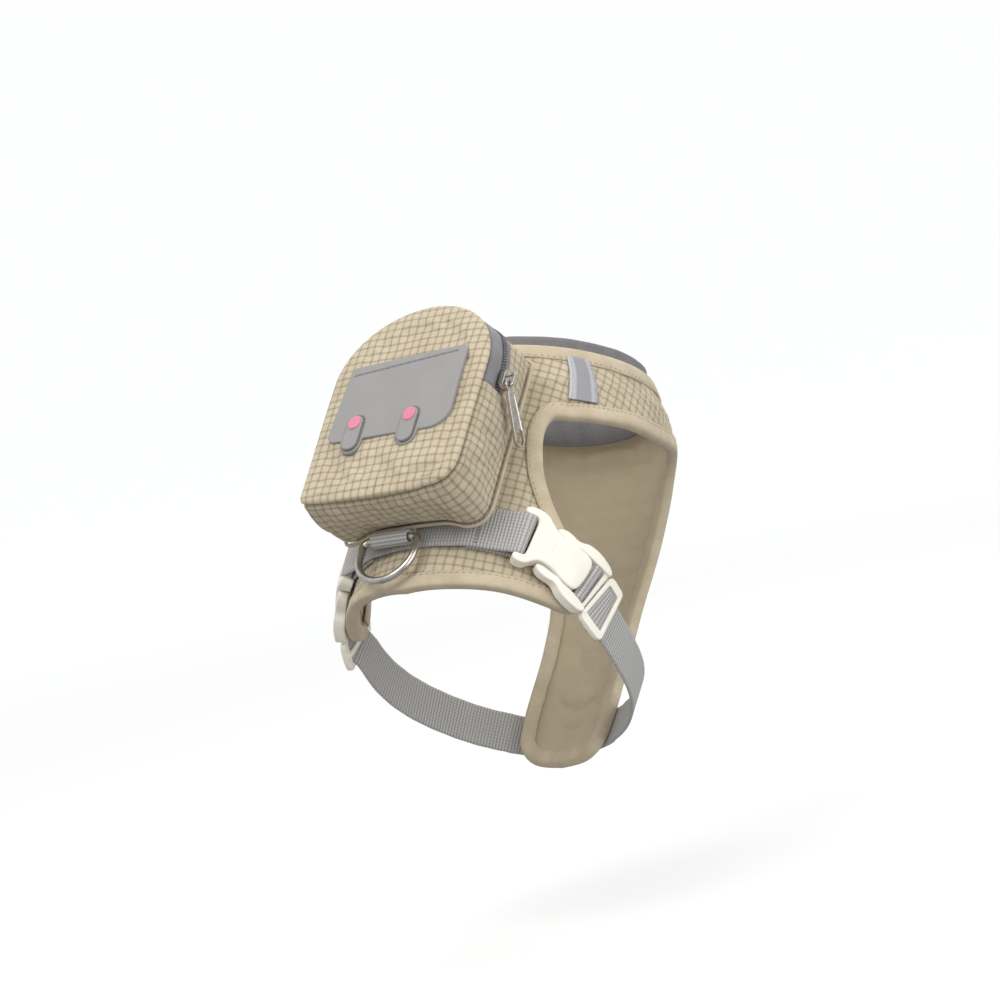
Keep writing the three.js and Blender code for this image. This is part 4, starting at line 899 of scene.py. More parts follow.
def makeShoulderStrips():
    neckAt = 1 - (tape["width"] - tape["thickness"]) / form["neckReach"] + 0.05
    columns, rows = 14, 16

    def spot(i, k):
        u, t = i / columns, k / rows
        top, foot, legAt = [shoulder[key][0] + (shoulder[key][1] - shoulder[key][0]) * u
                            for key in ("neck", "leg", "legAt")]
        return top + (foot - top) * t, neckAt + (legAt - neckAt) * t, u, t

    def place(i, k):
        around, at, u, t = spot(i, k)
        edge = np.minimum(u, 1 - u)
        lift = form["cloth"] + 0.95 + shoulder["thickness"] * smooth(edge, 0.0, 0.08)
        return onTorso(around, at, lift + np.sin(t * 24) * 0.05)

    def uv(i, k):
        u, t = i / columns, k / rows
        return np.stack([(u - 0.5) * shoulder["width"], t * 18], -1)

    made = finishMesh("silver_strip_right", bend(columns, rows, place, uv), "silver_tape")
    fitBoth(thicken(made, shoulder["thickness"], offset=0), "reflective_strip")
    k = np.arange(1, rows, 1.15)
    spots, headings, normals = [], [], []
    for side in (0.1, 0.9):
        around, at, _, _ = spot(np.full_like(k, side * columns), k)
        spots.append(onTorso(around, at, form["cloth"] + 1.6))
        headings.append(torsoFrame(around, at)[1] + torsoFrame(around, at)[0] * 0.02)
        normals.append(torsoFrame(around, at)[2])
    rows = [np.vstack(values) for values in (spots, headings, normals)]
    fitBoth(beads("silver_strip_stitches_right", *rows, (0.85, 0.4, 0.4), "blue_grey_thread"))
    print("collar lining and shoulder strips")


# places along the belt
beltRoute = [{"around": a, "at": b} for a, b in (
    (0, -0.59), (30, -0.583), (45, -0.588), (58, -0.64), (70, -0.695), (80, -0.755),
    (100, -0.8), (130, -0.78), (160, -0.76), (190, -0.755))]
beltLift = 5


def beltLine(around):
    return onTorso(around, blendRows(beltRoute, "around", "at", around), beltLift)


beltTurns = np.arange(0, 186, 1.0)
beltLengths = runLength(beltLine(beltTurns))
beltHalf = beltLengths[180]


def beltPoint(length, across, lift):  # by the way round the belt, from the spine
    length, across, lift = np.broadcast_arrays(*[np.asarray(v, float) for v in (length, across, lift)])
    length = np.where(length > beltHalf, length - 2 * beltHalf, length)
    around = np.interp(np.abs(length), beltLengths, beltTurns)
    heading = unit(beltLine(around + 0.5) - beltLine(around - 0.5))
    out = torsoFrame(around, blendRows(beltRoute, "around", "at", around))[2]
    side = unit(np.cross(out, heading))
    point = beltLine(around) + side * across[..., None] + out * (lift - beltLift)[..., None]
    return point * np.stack([np.where(length < 0, -1.0, 1.0)] + [np.ones_like(length)] * 2, -1)


webbingSize = {"width": 20, "thickness": 1.4}


def rounded(path, rounds=2):  # cuts the corners of a path of (along, lift)
    path = np.array(path, float)
    for _ in range(rounds):
        a, b = path[:-1], path[1:]
        cutUp = np.empty((2 * len(a), 2))
        cutUp[0::2], cutUp[1::2] = a * 0.75 + b * 0.25, a * 0.25 + b * 0.75
        path = np.vstack([path[:1], cutUp, path[-1:]])
    return path


def strap(name, path, width, place, node, longest=2.2):
    dense = [path[0]]
    for a, b in zip(path[:-1], path[1:]):
        pieces = max(1, int(math.ceil(np.linalg.norm(np.subtract(b, a)) / longest)))
        dense += [a + (b - a) * t for t in np.linspace(0, 1, pieces + 1)[1:]]
    path = np.array(dense)
    heading = unit(np.gradient(path, axis=0))
    rise = np.stack([-heading[:, 1], heading[:, 0]], -1)
    half, t = width / 2, webbingSize["thickness"] / 2
    side = np.array([-half + 0.5, *np.linspace(-half + 1.6, half - 1.6, 7), half - 0.5])
    section = np.array([
        *[(x, t) for x in side], (half - 0.12, t * 0.62), (half, 0), (half - 0.12, -t * 0.62),
        *[(x, -t) for x in side[::-1]], (0.12 - half, -t * 0.62), (-half, 0), (0.12 - half, t * 0.62)])
    lengths = runLength(path)

    def spot(i, k):
        corner = pick(section, i)
        fray = np.sin(pick(lengths, k) * 2.4) * 0.06 * (np.abs(corner[:, 0]) / half > 0.95)
        spotAt = pick(path, k) + pick(rise, k) * corner[:, 1:]
        return place(spotAt[:, 0], corner[:, 0] * (1 + fray / half), spotAt[:, 1])

    def uv(i, k):
        return np.stack([pick(lengths, k), pick(section, i)[:, 0]], -1)

    fit(finishMesh(name, closeUp(bend(len(section), len(path) - 1, spot, uv)), "webbing"), node)


buckle = {
    "start": 50, "thickness": 6, "rise": 4, "bar": 3, "maleEnd": 35.2,
    "maleBar": 2, "maleBarGap": 2.2, "outerBar": 2.2,
    "sliderLength": 12, "sliderMiddleBar": 2, "foldReach": 24.5,
}
strapLift = form["cloth"] + form["gap"] + webbingSize["thickness"] / 2
overBinding = strapLift + tape["thickness"] + form["gap"]
barLift = buckle["rise"] + buckle["thickness"] / 2
femaleBar = buckle["start"] - webbingSize["thickness"] - form["gap"] - buckle["bar"] / 2
maleEnd = buckle["start"] + buckle["maleEnd"]
innerBar = maleEnd - buckle["outerBar"] - buckle["maleBarGap"] - buckle["maleBar"] / 2


def wrap(along, lift, radius, start, end):  # webbing turned round a bar
    turns = np.radians(np.linspace(start, end, int(abs(end - start) / 15) + 1))
    return [(along + math.cos(t) * radius, lift + math.sin(t) * radius) for t in turns]


def makeBackStrap():
    t, gap = webbingSize["thickness"], form["gap"]
    overFold = strapLift + t + gap
    radius = buckle["bar"] / 2 + gap + t / 2
    half = [(17, strapLift), (buckle["foldReach"] - 1.5, overFold), (femaleBar - 10, overFold + gap),
            *wrap(femaleBar, barLift, radius, 90, -90),
            (femaleBar - 5, strapLift + gap), (buckle["foldReach"], strapLift)]
    left = [(-a, b) for a, b in half][::-1]
    path = rounded(left + half, 2)
    strap("back_webbing", path, webbingSize["width"], beltPoint, "back_strap")
    for side, name in ((1, "right"), (-1, "left")):
        across = np.arange(-8.2, 8.4, 1.5)
        length = np.full_like(across, side * 29.0)
        lift = np.full_like(across, overFold + gap + t / 2)
        spots = beltPoint(length, across, lift + 0.02)
        headings = beltPoint(length, across + 1, lift) - beltPoint(length, across - 1, lift)
        normals = beltPoint(length, across, lift + 1) - beltPoint(length, across, lift)
        fit(beads("belt_stitches_" + name, spots, headings, normals, (1.0, 0.5, 0.5), "grey_thread"))


def makeBellyStrap():
    t, gap = webbingSize["thickness"], form["gap"]
    slider = maleEnd + 2 * gap + buckle["sliderLength"] / 2
    sliderFloor = overBinding + t / 2 + gap
    overBar = sliderFloor + gap + t / 2
    window = buckle["sliderLength"] / 2 - moulding["slider"]["rail"]
    radius = buckle["maleBar"] / 2 + gap + t / 2
    underBar = barLift - buckle["maleBar"] / 2 - gap - t / 2
    chestEdge = beltHalf - 27
    half = [(innerBar + buckle["maleBar"] / 2, barLift - radius), *wrap(innerBar, barLift, radius, 270, 0),
            (innerBar + radius + gap, underBar + gap), (innerBar + radius + t, underBar),
            (maleEnd, underBar - gap), (slider - window - 0.6, overBinding + gap),
            (slider - window + 0.5, overBar), (slider, overBar + 0.1), (slider + window - 0.5, overBar),
            (slider + window + 0.6, overBinding + gap), (slider + buckle["sliderLength"], strapLift),
            (chestEdge - 6, strapLift), (chestEdge, overBinding), (beltHalf, overBinding)]
    other = [(2 * beltHalf - a, b) for a, b in half[:-1]][::-1]
    strap("belly_webbing", rounded(half + other, 1), webbingSize["width"], beltPoint, "belly_strap")
    print("webbing")


# moulded pieces: flat outlines in millimetres, thickened, fused, melted round and set in place
moulding = {
    "socket": [(50.7, 0), (50.7, 9.2), (49.0, 10.0), (46.2, 9.8), (44.6, 10.6), (45.0, 13.0), (48.0, 13.9),
               (52.5, 13.4), (55.2, 10.6), (57.6, 8.7), (61, 8.1), (66, 8.3), (69.5, 9.5), (74.5, 9.5),
               (76.6, 7.6), (77.1, 3.5), (77.1, 0)],
    "socketCrown": 0.9,
    "arm": [(57.7, 9.3), (57.5, 11.0), (60.0, 12.6), (63.5, 13.0), (66.4, 12.2), (68.6, 12.6), (71.0, 14.4),
            (75.0, 15.3), (80.5, 15.2), (85.0, 13.8), (85.2, 11.0), (81.5, 10.6), (77.6, 10.0), (70.0, 10.0),
            (67.5, 8.8), (62.5, 8.7)],
    "outerBar": (83.1, 85.1, 12.6),
    "voxel": 0.36, "rounds": 5,
    "slider": {"start": 85.85, "end": 98.2, "half": 14.2, "corner": 2.6, "rail": 2.0, "foot": 3.7,
               "thickness": 2.5},
}


def slab(bm, points, low, high, window=0.0):  # a flat outline, thickened, with an open middle
    faces = [bm.faces.new([bm.verts.new((x, y, low)) for x, y in points])]
    bm.normal_update()
    if window:
        rim = bmesh.ops.inset_individual(bm, faces=faces, thickness=window, use_even_offset=True)["faces"]
        bmesh.ops.delete(bm, geom=faces, context="FACES_ONLY")
        faces = rim
    raised = bmesh.ops.extrude_face_region(bm, geom=faces)["geom"]
    verts = [item for item in raised if isinstance(item, bmesh.types.BMVert)]
    bmesh.ops.translate(bm, verts=verts, vec=(0, 0, high - low))
    return bm


def loopRounded(points, rounds=2):  # cuts the corners of a closed outline
    p = np.array(points, float)
    for _ in range(rounds):
        after = np.roll(p, -1, axis=0)
        p = np.stack([p * 0.75 + after * 0.25, p * 0.25 + after * 0.75], 1).reshape(-1, 2)
    return p


def bothHalves(half):  # an outline from its upper half
    upper = rounded(half, 2)
    return np.vstack([upper, (upper * (1, -1))[-2:0:-1]])


def plate(x, y, width, length, corner=0.01, steps=6):  # a rectangle with round corners, from its middle
    points = []
    for turn, (sx, sy) in enumerate(((1, 1), (-1, 1), (-1, -1), (1, -1))):
        for a in np.radians(np.linspace(0, 90, steps + 1) + 90 * turn):
            points.append((x + sx * (width / 2 - corner) + corner * math.cos(a),
                           y + sy * (length / 2 - corner) + corner * math.sin(a)))
    return points


def moulded(name, bm, paint, voxel, rounds, place):  # fuses overlapping slabs and bends them to their place
    bmesh.ops.recalc_face_normals(bm, faces=bm.faces)
    made = melt(finishMesh(name, bm, paint), voxel, rounds)
    bm = bmesh.new()
    bm.from_mesh(made.data)
    flat = np.array([v.co[:] for v in bm.verts])
    for vert, point in zip(bm.verts, toRow(place(*flat.T))):
        vert.co = point
    bmesh.ops.recalc_face_normals(bm, faces=bm.faces)
    bm.to_mesh(made.data)
    bm.free()
    made.data.shade_smooth()
    return made


def makeBuckles():
    low, high = buckle["rise"], buckle["rise"] + buckle["thickness"]
    voxel, rounds = moulding["voxel"], moulding["rounds"]
    bar = buckle["bar"] / 2

    def crowned(along, across, lift):
        dome = (1 - (across / 11) ** 2) * smooth(along, 50, 56) * (1 - smooth(along, 72, 79) * 0.7)
        line = np.abs(along - 60.5 + across**2 * 0.035)  # a shallow line over the socket's back
        groove = 0.22 * (1 - smooth(line, 0.2, 0.8)) * (np.abs(across) < 7.5)
        raised = moulding["socketCrown"] * dome - groove
        return beltPoint(along, across, lift + smooth(lift, 7, 10) * raised)

    bm = slab(bmesh.new(), bothHalves(moulding["socket"]), low + 0.1, high)
    slab(bm, plate(femaleBar, 0, 2 * bar, 21.5), barLift - bar, barLift + bar)
    fitBoth(moulded("buckle_socket_right", bm, "ivory_plastic", voxel, rounds, crowned), "buckle_female")

    def shouldered(along, across, lift):  # the arms' tips lie lower than the shoulders
        return beltPoint(along, across, lift - 0.7 * (1 - smooth(along, 64, 70)) * smooth(lift, 5, 9))

    bm = bmesh.new()
    arm = loopRounded(moulding["arm"])
    for side in (1, -1):
        slab(bm, arm * (1, side), low + 0.5, high - 0.2)
    start, end, half = moulding["outerBar"]
    slab(bm, plate((start + end) / 2, 0, end - start, 2 * half), barLift - 1.3, barLift + 1.3)
    slab(bm, plate(innerBar, 0, buckle["maleBar"], 21.5), barLift - 1, barLift + 1)
    fitBoth(moulded("buckle_prongs_right", bm, "ivory_plastic", voxel, rounds, shouldered), "buckle_male")

    slider = moulding["slider"]
    middle, length = (slider["start"] + slider["end"]) / 2, slider["end"] - slider["start"]
    floor = overBinding + webbingSize["thickness"] / 2 + form["gap"]
    bm = bmesh.new()
    top = floor + slider["thickness"]
    slab(bm, plate(middle, 0, length, 2 * slider["half"], slider["corner"]), floor, top, slider["rail"])
    bridge = plate(middle, 0, buckle["sliderMiddleBar"], 2 * slider["half"] - 2)
    slab(bm, bridge, floor - webbingSize["thickness"], floor + 0.2)
    for side in (1, -1):
        across = side * (slider["half"] - slider["foot"] / 2 - 0.3)
        slab(bm, plate(middle, across, length - 1.2, slider["foot"], 1.2), floor, top)
    fitBoth(moulded("webbing_slider_right", bm, "ivory_plastic", 0.32, 4, beltPoint), "strap_slider")
    print("buckles and sliders")


# zip slider and its pull
pullTag = {
    "neck": 2.1, "top": 5.6, "width": 7.4, "length": 22.5, "eye": 2.6, "wire": 1.1, "thickness": 1.4,
    "hole": (4.8, 6.0), "rim": 0.75, "voxel": 0.15, "rounds": 3,
}


def makeZipHardware():
    bm = bmesh.new()
    bm.from_mesh(nodes["zip_slider"].data)
    bmesh.ops.remove_doubles(bm, verts=bm.verts, dist=1e-6)
    runner = melt(finishMesh("zip_runner", bm, "nickel"), 0.14 * mm, 4)
    runner.data.shade_smooth()
    fit(runner, "zip_slider")

    (lowX, lowY, lowZ), (highX, highY, highZ) = [np.array(c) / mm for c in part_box("zip_pull")]
    tag = pullTag
    half, thick = tag["width"] / 2, tag["thickness"] / 2
    eyeZ, plateTop = highZ - tag["eye"], -tag["eye"] - 1.5
    end = plateTop - tag["length"] + half
    side = [(tag["neck"], plateTop + 1.2), (tag["top"] / 2, plateTop - 1.5), (half, end)]
    foot = [(half * math.cos(a), end + half * math.sin(a)) for a in np.linspace(0, -math.pi, 25)[1:-1]]
    shape = side + foot + [(-x, y) for x, y in side[::-1]]
    bm = bmesh.new()
    slab(bm, shape, -thick, thick, tag["rim"])  # bright raised rim
    plateEnd = end + tag["hole"][1] / 2 + (tag["hole"][1] - tag["hole"][0]) / 2
    slab(bm, [(1.9, plateTop + 1), (tag["top"] / 2 - 0.3, plateTop - 1.5), (half - 0.4, plateEnd - 1.2),
              (half - 1.6, plateEnd), (1.0, plateEnd + 0.5), (-1.0, plateEnd + 0.5), (1.6 - half, plateEnd),
              (0.4 - half, plateEnd - 1.2), (0.3 - tag["top"] / 2, plateTop - 1.5), (-1.9, plateTop + 1)],
         -thick * 0.55, thick * 0.55)
    turns = np.linspace(0, 2 * math.pi, 29)[:-1]
    eye = [(tag["eye"] * math.cos(a), tag["eye"] * math.sin(a)) for a in turns]
    slab(bm, eye, -thick * 0.8, thick * 0.8, tag["wire"])
    neck = tag["neck"] * 0.8
    slab(bm, plate(0, (plateTop - tag["eye"]) / 2 + 0.3, 2 * neck, 3.2), -thick * 0.7, thick * 0.7)
    centreX, centreY = (lowX + highX) / 2, (lowY + highY) / 2
    pitch = math.sqrt(0.5)

    def hung(x, y, z):  # the plate hangs upright, its face outwards; given in body axes
        across, up = centreY - x, eyeZ + y
        return np.stack([centreX + z, (across + up) * pitch, (up - across) * pitch], -1)

    fit(moulded("zip_tag", bm, "nickel", tag["voxel"], tag["rounds"], hung), "zip_pull", "pull")
    print("zip slider and pull")


# leash ring and its keeper
ring = {
    "width": 31, "length": 24.4, "wire": 3.2, "corner": 3, "offset": -8.3, "back": -51.8, "rise": 7.8,
    "keeperWidth": 18.5, "keeperLength": 7.5,
}


def ringLine(count):
    half = (ring["width"] - ring["wire"]) / 2
    legs = ring["length"] - ring["wire"] - half
    c = ring["corner"]
    right = [(0, 0), (half - c, 0)]
    right += [(half - c + c * math.sin(t), -c + c * math.cos(t)) for t in np.linspace(0, math.pi / 2, 12)[1:]]
    right += [(half, -legs)]
    right += [(half * math.cos(t), -legs - half * math.sin(t)) for t in np.linspace(0, math.pi / 2, 24)[1:]]
    line = np.array(right + [(-x, y) for x, y in right[-2:0:-1]] + [(0, 0)])
    length = runLength(line)
    wanted = np.linspace(0, length[-1], count + 1)[:-1]
    return np.stack([np.interp(wanted, length, line[:, q]) for q in (0, 1)], -1)


def makeRing():
    count, sides = 150, 20
    line = ringLine(count)
    heading = unit(np.roll(line, -1, axis=0) - np.roll(line, 1, axis=0))
    outward = np.stack([heading[:, 1], -heading[:, 0]], -1)

    def place(i, k):
        turn = i / sides * 2 * np.pi
        flat = pick(line, k) + pick(outward, k) * (np.cos(turn) * ring["wire"] / 2)[:, None]
        return np.stack([flat[:, 0] + ring["offset"], flat[:, 1] + ring["back"],
                         ring["rise"] + np.sin(turn) * ring["wire"] / 2], -1)

    bm = closeUp(bend(sides, count, place, lambda i, k: np.stack([k, i], -1)), caps=False)
    fit(finishMesh("leash_ring", bm, "nickel"), "d_ring", "leash_ring")
    t, gap = webbingSize["thickness"], form["gap"]
    radius = ring["wire"] / 2 + gap + t / 2
    lower = strapLift + t + gap
    turns = np.radians(np.linspace(-90, 135, 20))
    path = [(ring["back"] + ring["keeperLength"], lower), (ring["back"] + radius, lower)]
    path += [(ring["back"] - math.cos(a) * radius, ring["rise"] + math.sin(a) * radius) for a in turns]
    path += [(ring["back"] + radius + gap, lower + t + gap)]

    def keeperPlace(along, across, lift):
        return np.stack([ring["offset"] + across, along, lift], -1)

    strap("ring_loop", np.array(path), ring["keeperWidth"], keeperPlace, "ring_keeper", longest=0.8)
    print("leash ring and its loop")


# pack
pack = {
    "front": {"bottom": 48.6, "sag": 2.0, "top": 49.3, "arch": 34.8,
              "right": {"bottomHalf": 37.2, "half": 37.2, "corner": 14},
              "left": {"bottomHalf": 38.8, "half": 39.6, "corner": 3.5}},
    "base": {"bottom": 47, "sag": -1.8, "top": 43.3, "arch": 8,
             "right": {"bottomHalf": 34.8, "half": 34.5, "corner": 10},
             "left": {"bottomHalf": 36, "half": 34.5, "corner": 3}},
    "frontHeight": 35.5, "crown": 1.2, "wall": 1.4, "bulge": 1.2,
    "baseRise": 4, "baseArch": 4.3, "baseTopArch": 1.3, "baseWall": 1.2,
    "piping": 0.8, "pipingOut": 1.1,
    "zipStart": 5, "zipBack": 18.8, "tapeBack": 3, "coil": 3.4, "sliderAt": 10.8,
}
frontSeam = pack["frontHeight"] - pack["crown"] - 0.9  # the groove between the front and the walls
packMiddle = (0, 0, 20)
places = 36  # round the pack, from the middle of its bottom


def quadratic(a, b, c, t):
    return (1 - t) ** 2 * a + 2 * t * (1 - t) * b + t**2 * c


def packSide(outline, side):  # one half, bottom middle to top middle
    bottom, top, arch, sag = [outline[key] for key in ("bottom", "top", "arch", "sag")]
    bottomHalf, half, corner = [outline[side][key] for key in ("bottomHalf", "half", "corner")]
    t = np.linspace(0, 1, 120)[:, None]
    p = [np.array(v, float) for v in (
        (0, -bottom - sag), (bottomHalf / 2, -bottom - sag), (bottomHalf - corner, -bottom),
        (bottomHalf, -bottom),
        (bottomHalf, -bottom + corner), (bottomHalf, -bottom / 2), (half, -bottom / 3), (half, top - arch))]
    turn = t * math.pi / 2
    line = np.vstack([
        quadratic(p[0], p[1], p[2], t), quadratic(p[2], p[3], p[4], t),
        (1 - t) ** 3 * p[4] + 3 * t * (1 - t) ** 2 * p[5] + 3 * t**2 * (1 - t) * p[6] + t**3 * p[7],
        np.hstack([half * np.cos(turn), top - arch + arch * np.sin(turn)])])
    length = runLength(line)
    return length / length[-1] * places / 2, line, length[-1]


frontLine, baseLine = [[packSide(pack[key], side) for side in ("right", "left")] for key in ("front", "base")]
placeLength = frontLine[0][2] / (places / 2)


def lineAt(lines, place):
    place = np.mod(place, places)
    onLeft = place > places / 2
    share = np.where(onLeft, places - place, place)
    right, left = [np.stack([np.interp(share, side[0], side[1][:, q]) for q in (0, 1)], -1) for side in lines]
    return np.where(onLeft[..., None], left * (-1, 1), right)


def outwardAt(place):
    step = lineAt(frontLine, place + 0.5) - lineAt(frontLine, place - 0.5)
    return unit(np.stack([step[:, 1], -step[:, 0]], -1))


def baseSeam(spot):  # height of the seam between wall and base
    base = pack["base"]
    bottomHalf = base["right"]["bottomHalf"]
    middle = 1 - smooth(np.abs(spot[:, 0]), bottomHalf * 0.45, bottomHalf * 0.95)
    bottomEnd = 1 - smooth(spot[:, 1], -base["bottom"], -base["bottom"] * 0.5)
    topEnd = smooth(spot[:, 1], base["top"] * 0.5, base["top"])
    return pack["baseRise"] + (pack["baseArch"] * bottomEnd + pack["baseTopArch"] * topEnd) * middle


def wallPoint(place, height, inset):  # on the pack's wall, by the way round and the height
    base = lineAt(baseLine, place)
    low = baseSeam(base)
    t = np.clip((height - low) / (frontSeam - low), 0, 1)
    spot = base + (lineAt(frontLine, place) - base) * t[:, None]
    spot = spot + outwardAt(place) * (pack["bulge"] * np.sin(np.pi * t) - inset)[:, None]
    return np.column_stack([spot, height])


def placeAlong(y):  # the way round the pack to a spot on its right side
    share, line, _ = frontLine[0]
    side = share > places / 8
    return float(np.interp(y, line[side, 1], share[side]))


zipPlace = placeAlong(pack["zipStart"])


def wallSheet(name, start, end, lowAt, highAt, columns, rows, node, paint, swell, solid):
    def spot(i, k):
        place = start + (end - start) * k / rows
        low, high = lowAt(place), highAt(place)
        return place, low + (high - low) * i / columns, i / columns

    def place(i, k):
        at, height, t = spot(i, k)
        fold = ripple(at * placeLength * 1.1, height * 1.6, 1.3) * 0.5
        fold = fold + ripple(at * placeLength * 2.6, height, 5) * 0.3
        out = swell(t, at) + fold * 0.35 * np.sin(np.pi * t)
        return wallPoint(at, height, -out)

    def uv(i, k):
        at, height, _ = spot(i, k)
        return np.stack([at * placeLength, height], -1)

    bm = bend(columns, rows, place, uv)
    bmesh.ops.recalc_face_normals(bm, faces=bm.faces)
    turnOut(bm, bm.faces[:][len(bm.faces) // 2], packMiddle)
    return fit(thicken(settle(finishMesh(name, bm, paint)), solid, offset=-1), node)


def makePackWalls():
    level = lambda height: (lambda place: np.full_like(place, height))
    base = lambda place: baseSeam(lineAt(baseLine, place)) + 0.1
    tapeTop = pack["zipBack"] + pack["tapeBack"]
    coilTop = tapeTop + pack["coil"]

    def rolled(fromSeam, radius):  # how far a rolled edge draws in
        return radius * (1 - np.sqrt(np.clip(1 - (1 - np.clip(fromSeam / radius, 0, 1)) ** 2, 0, 1)))

    def fullWall(t, at):  # drawn in at both seams, fuller between them
        return 0.45 + 0.8 * np.sin(np.pi * t) - rolled((1 - t) * 30, 1.9) - rolled(t * 30, 1.2)

    gusset = wallSheet("pack_wall", -zipPlace, zipPlace, base, level(frontSeam), 34, 150, "pack_gusset",
                       "checked_cloth", fullWall, pack["wall"])
    upper = wallSheet("pack_wall_top", zipPlace + 0.05, places - zipPlace - 0.05, base,
                      level(pack["zipBack"]), 18, 120, "pack_gusset_top", "checked_cloth",
                      lambda t, at: 0.3 * np.sin(np.pi * t) + 0.2 * smooth(t, 0.7, 1), pack["wall"])
    first, last = zipPlace + 0.02, places - zipPlace - 0.02
    wallSheet("zip_tape_inner", first, last, level(pack["zipBack"] - 0.4), level(tapeTop - 0.1), 6, 110,
              "zip_tape_back", "grey_tape", lambda t, at: -0.25 + 0 * t, 1.0)
    wallSheet("zip_tape_outer", first, last, level(coilTop + 0.1), level(frontSeam), 12, 110,
              "zip_tape_front", "grey_tape",
              lambda t, at: 0.2 + 0.4 * np.sin(np.pi * t) - rolled((1 - t) * 8, 1.7), 1.0)
    wallSheet("zip_coil_bed", first, last, level(tapeTop - 0.3), level(coilTop + 0.3), 4, 110,
              "zip_coil", "grey_tape", lambda t, at: -0.5 + 0 * t, 0.8)
    makeTeeth(tapeTop, coilTop)
    print("pack walls and zip tapes")


def makeTeeth(low, high):
    teeth = {"pitch": 1.5, "length": 1.9, "height": 1.25, "width": 0.85}
    middle, runs = (low + high) / 2, []
    start = placeAlong(pack["sliderAt"]) - 0.9
    count = int((places - 2 * start) * placeLength / teeth["pitch"])
    at = start + (np.arange(count) + 0.5) * (places - 2 * start) / count
    for side in (-1, 1):
        shift = at + (0.5 if side > 0 else 0) * teeth["pitch"] / placeLength
        spots = wallPoint(shift, np.full_like(shift, middle + side * 0.72), -0.35)
        level = np.full_like(shift, middle)
        along = wallPoint(shift + 0.1, level, 0) - wallPoint(shift - 0.1, level, 0)
        runs.append((spots, along, np.column_stack([outwardAt(shift), np.zeros(len(shift))])))
    size = [teeth[key] for key in ("width", "length", "height")]
    fit(beads("zip_teeth", *map(np.vstack, zip(*runs)), size, "grey_coil"))


frontRim = [  # rolled rim of the front panel, from the groove up: how far in, how far up
    (1.5, 0), (0.5, 0.25), (-0.25, 0.85), (-0.5, 1.6), (-0.15, 2.4), (0.8, 2.95), (2.2, 3.15), (4.0, 3.2)]


def makePackFront():
    rings, count = 30, 216
    rim = np.array(frontRim[::-1], float)

    def spot(i, k):
        at = i * places / count
        edge = lineAt(frontLine, at)
        size = np.linalg.norm(edge, axis=-1)
        row = k - rings
        inset = np.interp(row, np.arange(len(rim)), rim[:, 0])
        start = np.maximum(1 - rim[0, 0] / size, 0)
        share = np.where(row >= 0, 1 - inset / size, start * np.sin(np.clip(k / rings, 0, 1) * math.pi / 2))
        return edge * share[:, None], share, row, size

    def place(i, k):
        flat, share, row, size = spot(i, k)
        rise = np.interp(row, np.arange(len(rim)), rim[:, 1])
        crown = (pack["crown"] - 0.45) * (1 - np.clip(share, 0, 1) ** 4)  # the rest comes from settling
        inward = size * (1 - share)
        pucker = np.sin(i * places / count * placeLength * 1.15) * 0.1 * np.exp(-((inward - 3.2) / 2.2) ** 2)
        slack = ripple(flat[:, 0] * 1.2, flat[:, 1] * 1.1, 3.1) * 0.3 * smooth(inward, 1, 9)
        side = smooth(flat[:, 0], 15, 24) * (1 - smooth(flat[:, 1], 5, 20))
        slack = slack - side * 0.45 * np.exp(-((inward - 7.5) / 1.6) ** 2)  # a crease along the right edge
        return np.column_stack([flat, frontSeam + rise + crown + pucker + slack])

    bm = bend(count, rings + len(rim) - 1, place, lambda i, k: spot(i, k)[0])
    bmesh.ops.remove_doubles(bm, verts=bm.verts, dist=1e-6)
    bmesh.ops.recalc_face_normals(bm, faces=bm.faces)
    middle = min(bm.faces, key=lambda f: (f.calc_center_median() - Vector(toRow([0, 0, 37])[:])).length)
    turnOut(bm, middle, packMiddle)
    made = settle(finishMesh("pack_front_panel", bm, "checked_cloth"))
    thicken(made, 1.1, offset=-1)
    fit(made, "pack_front")


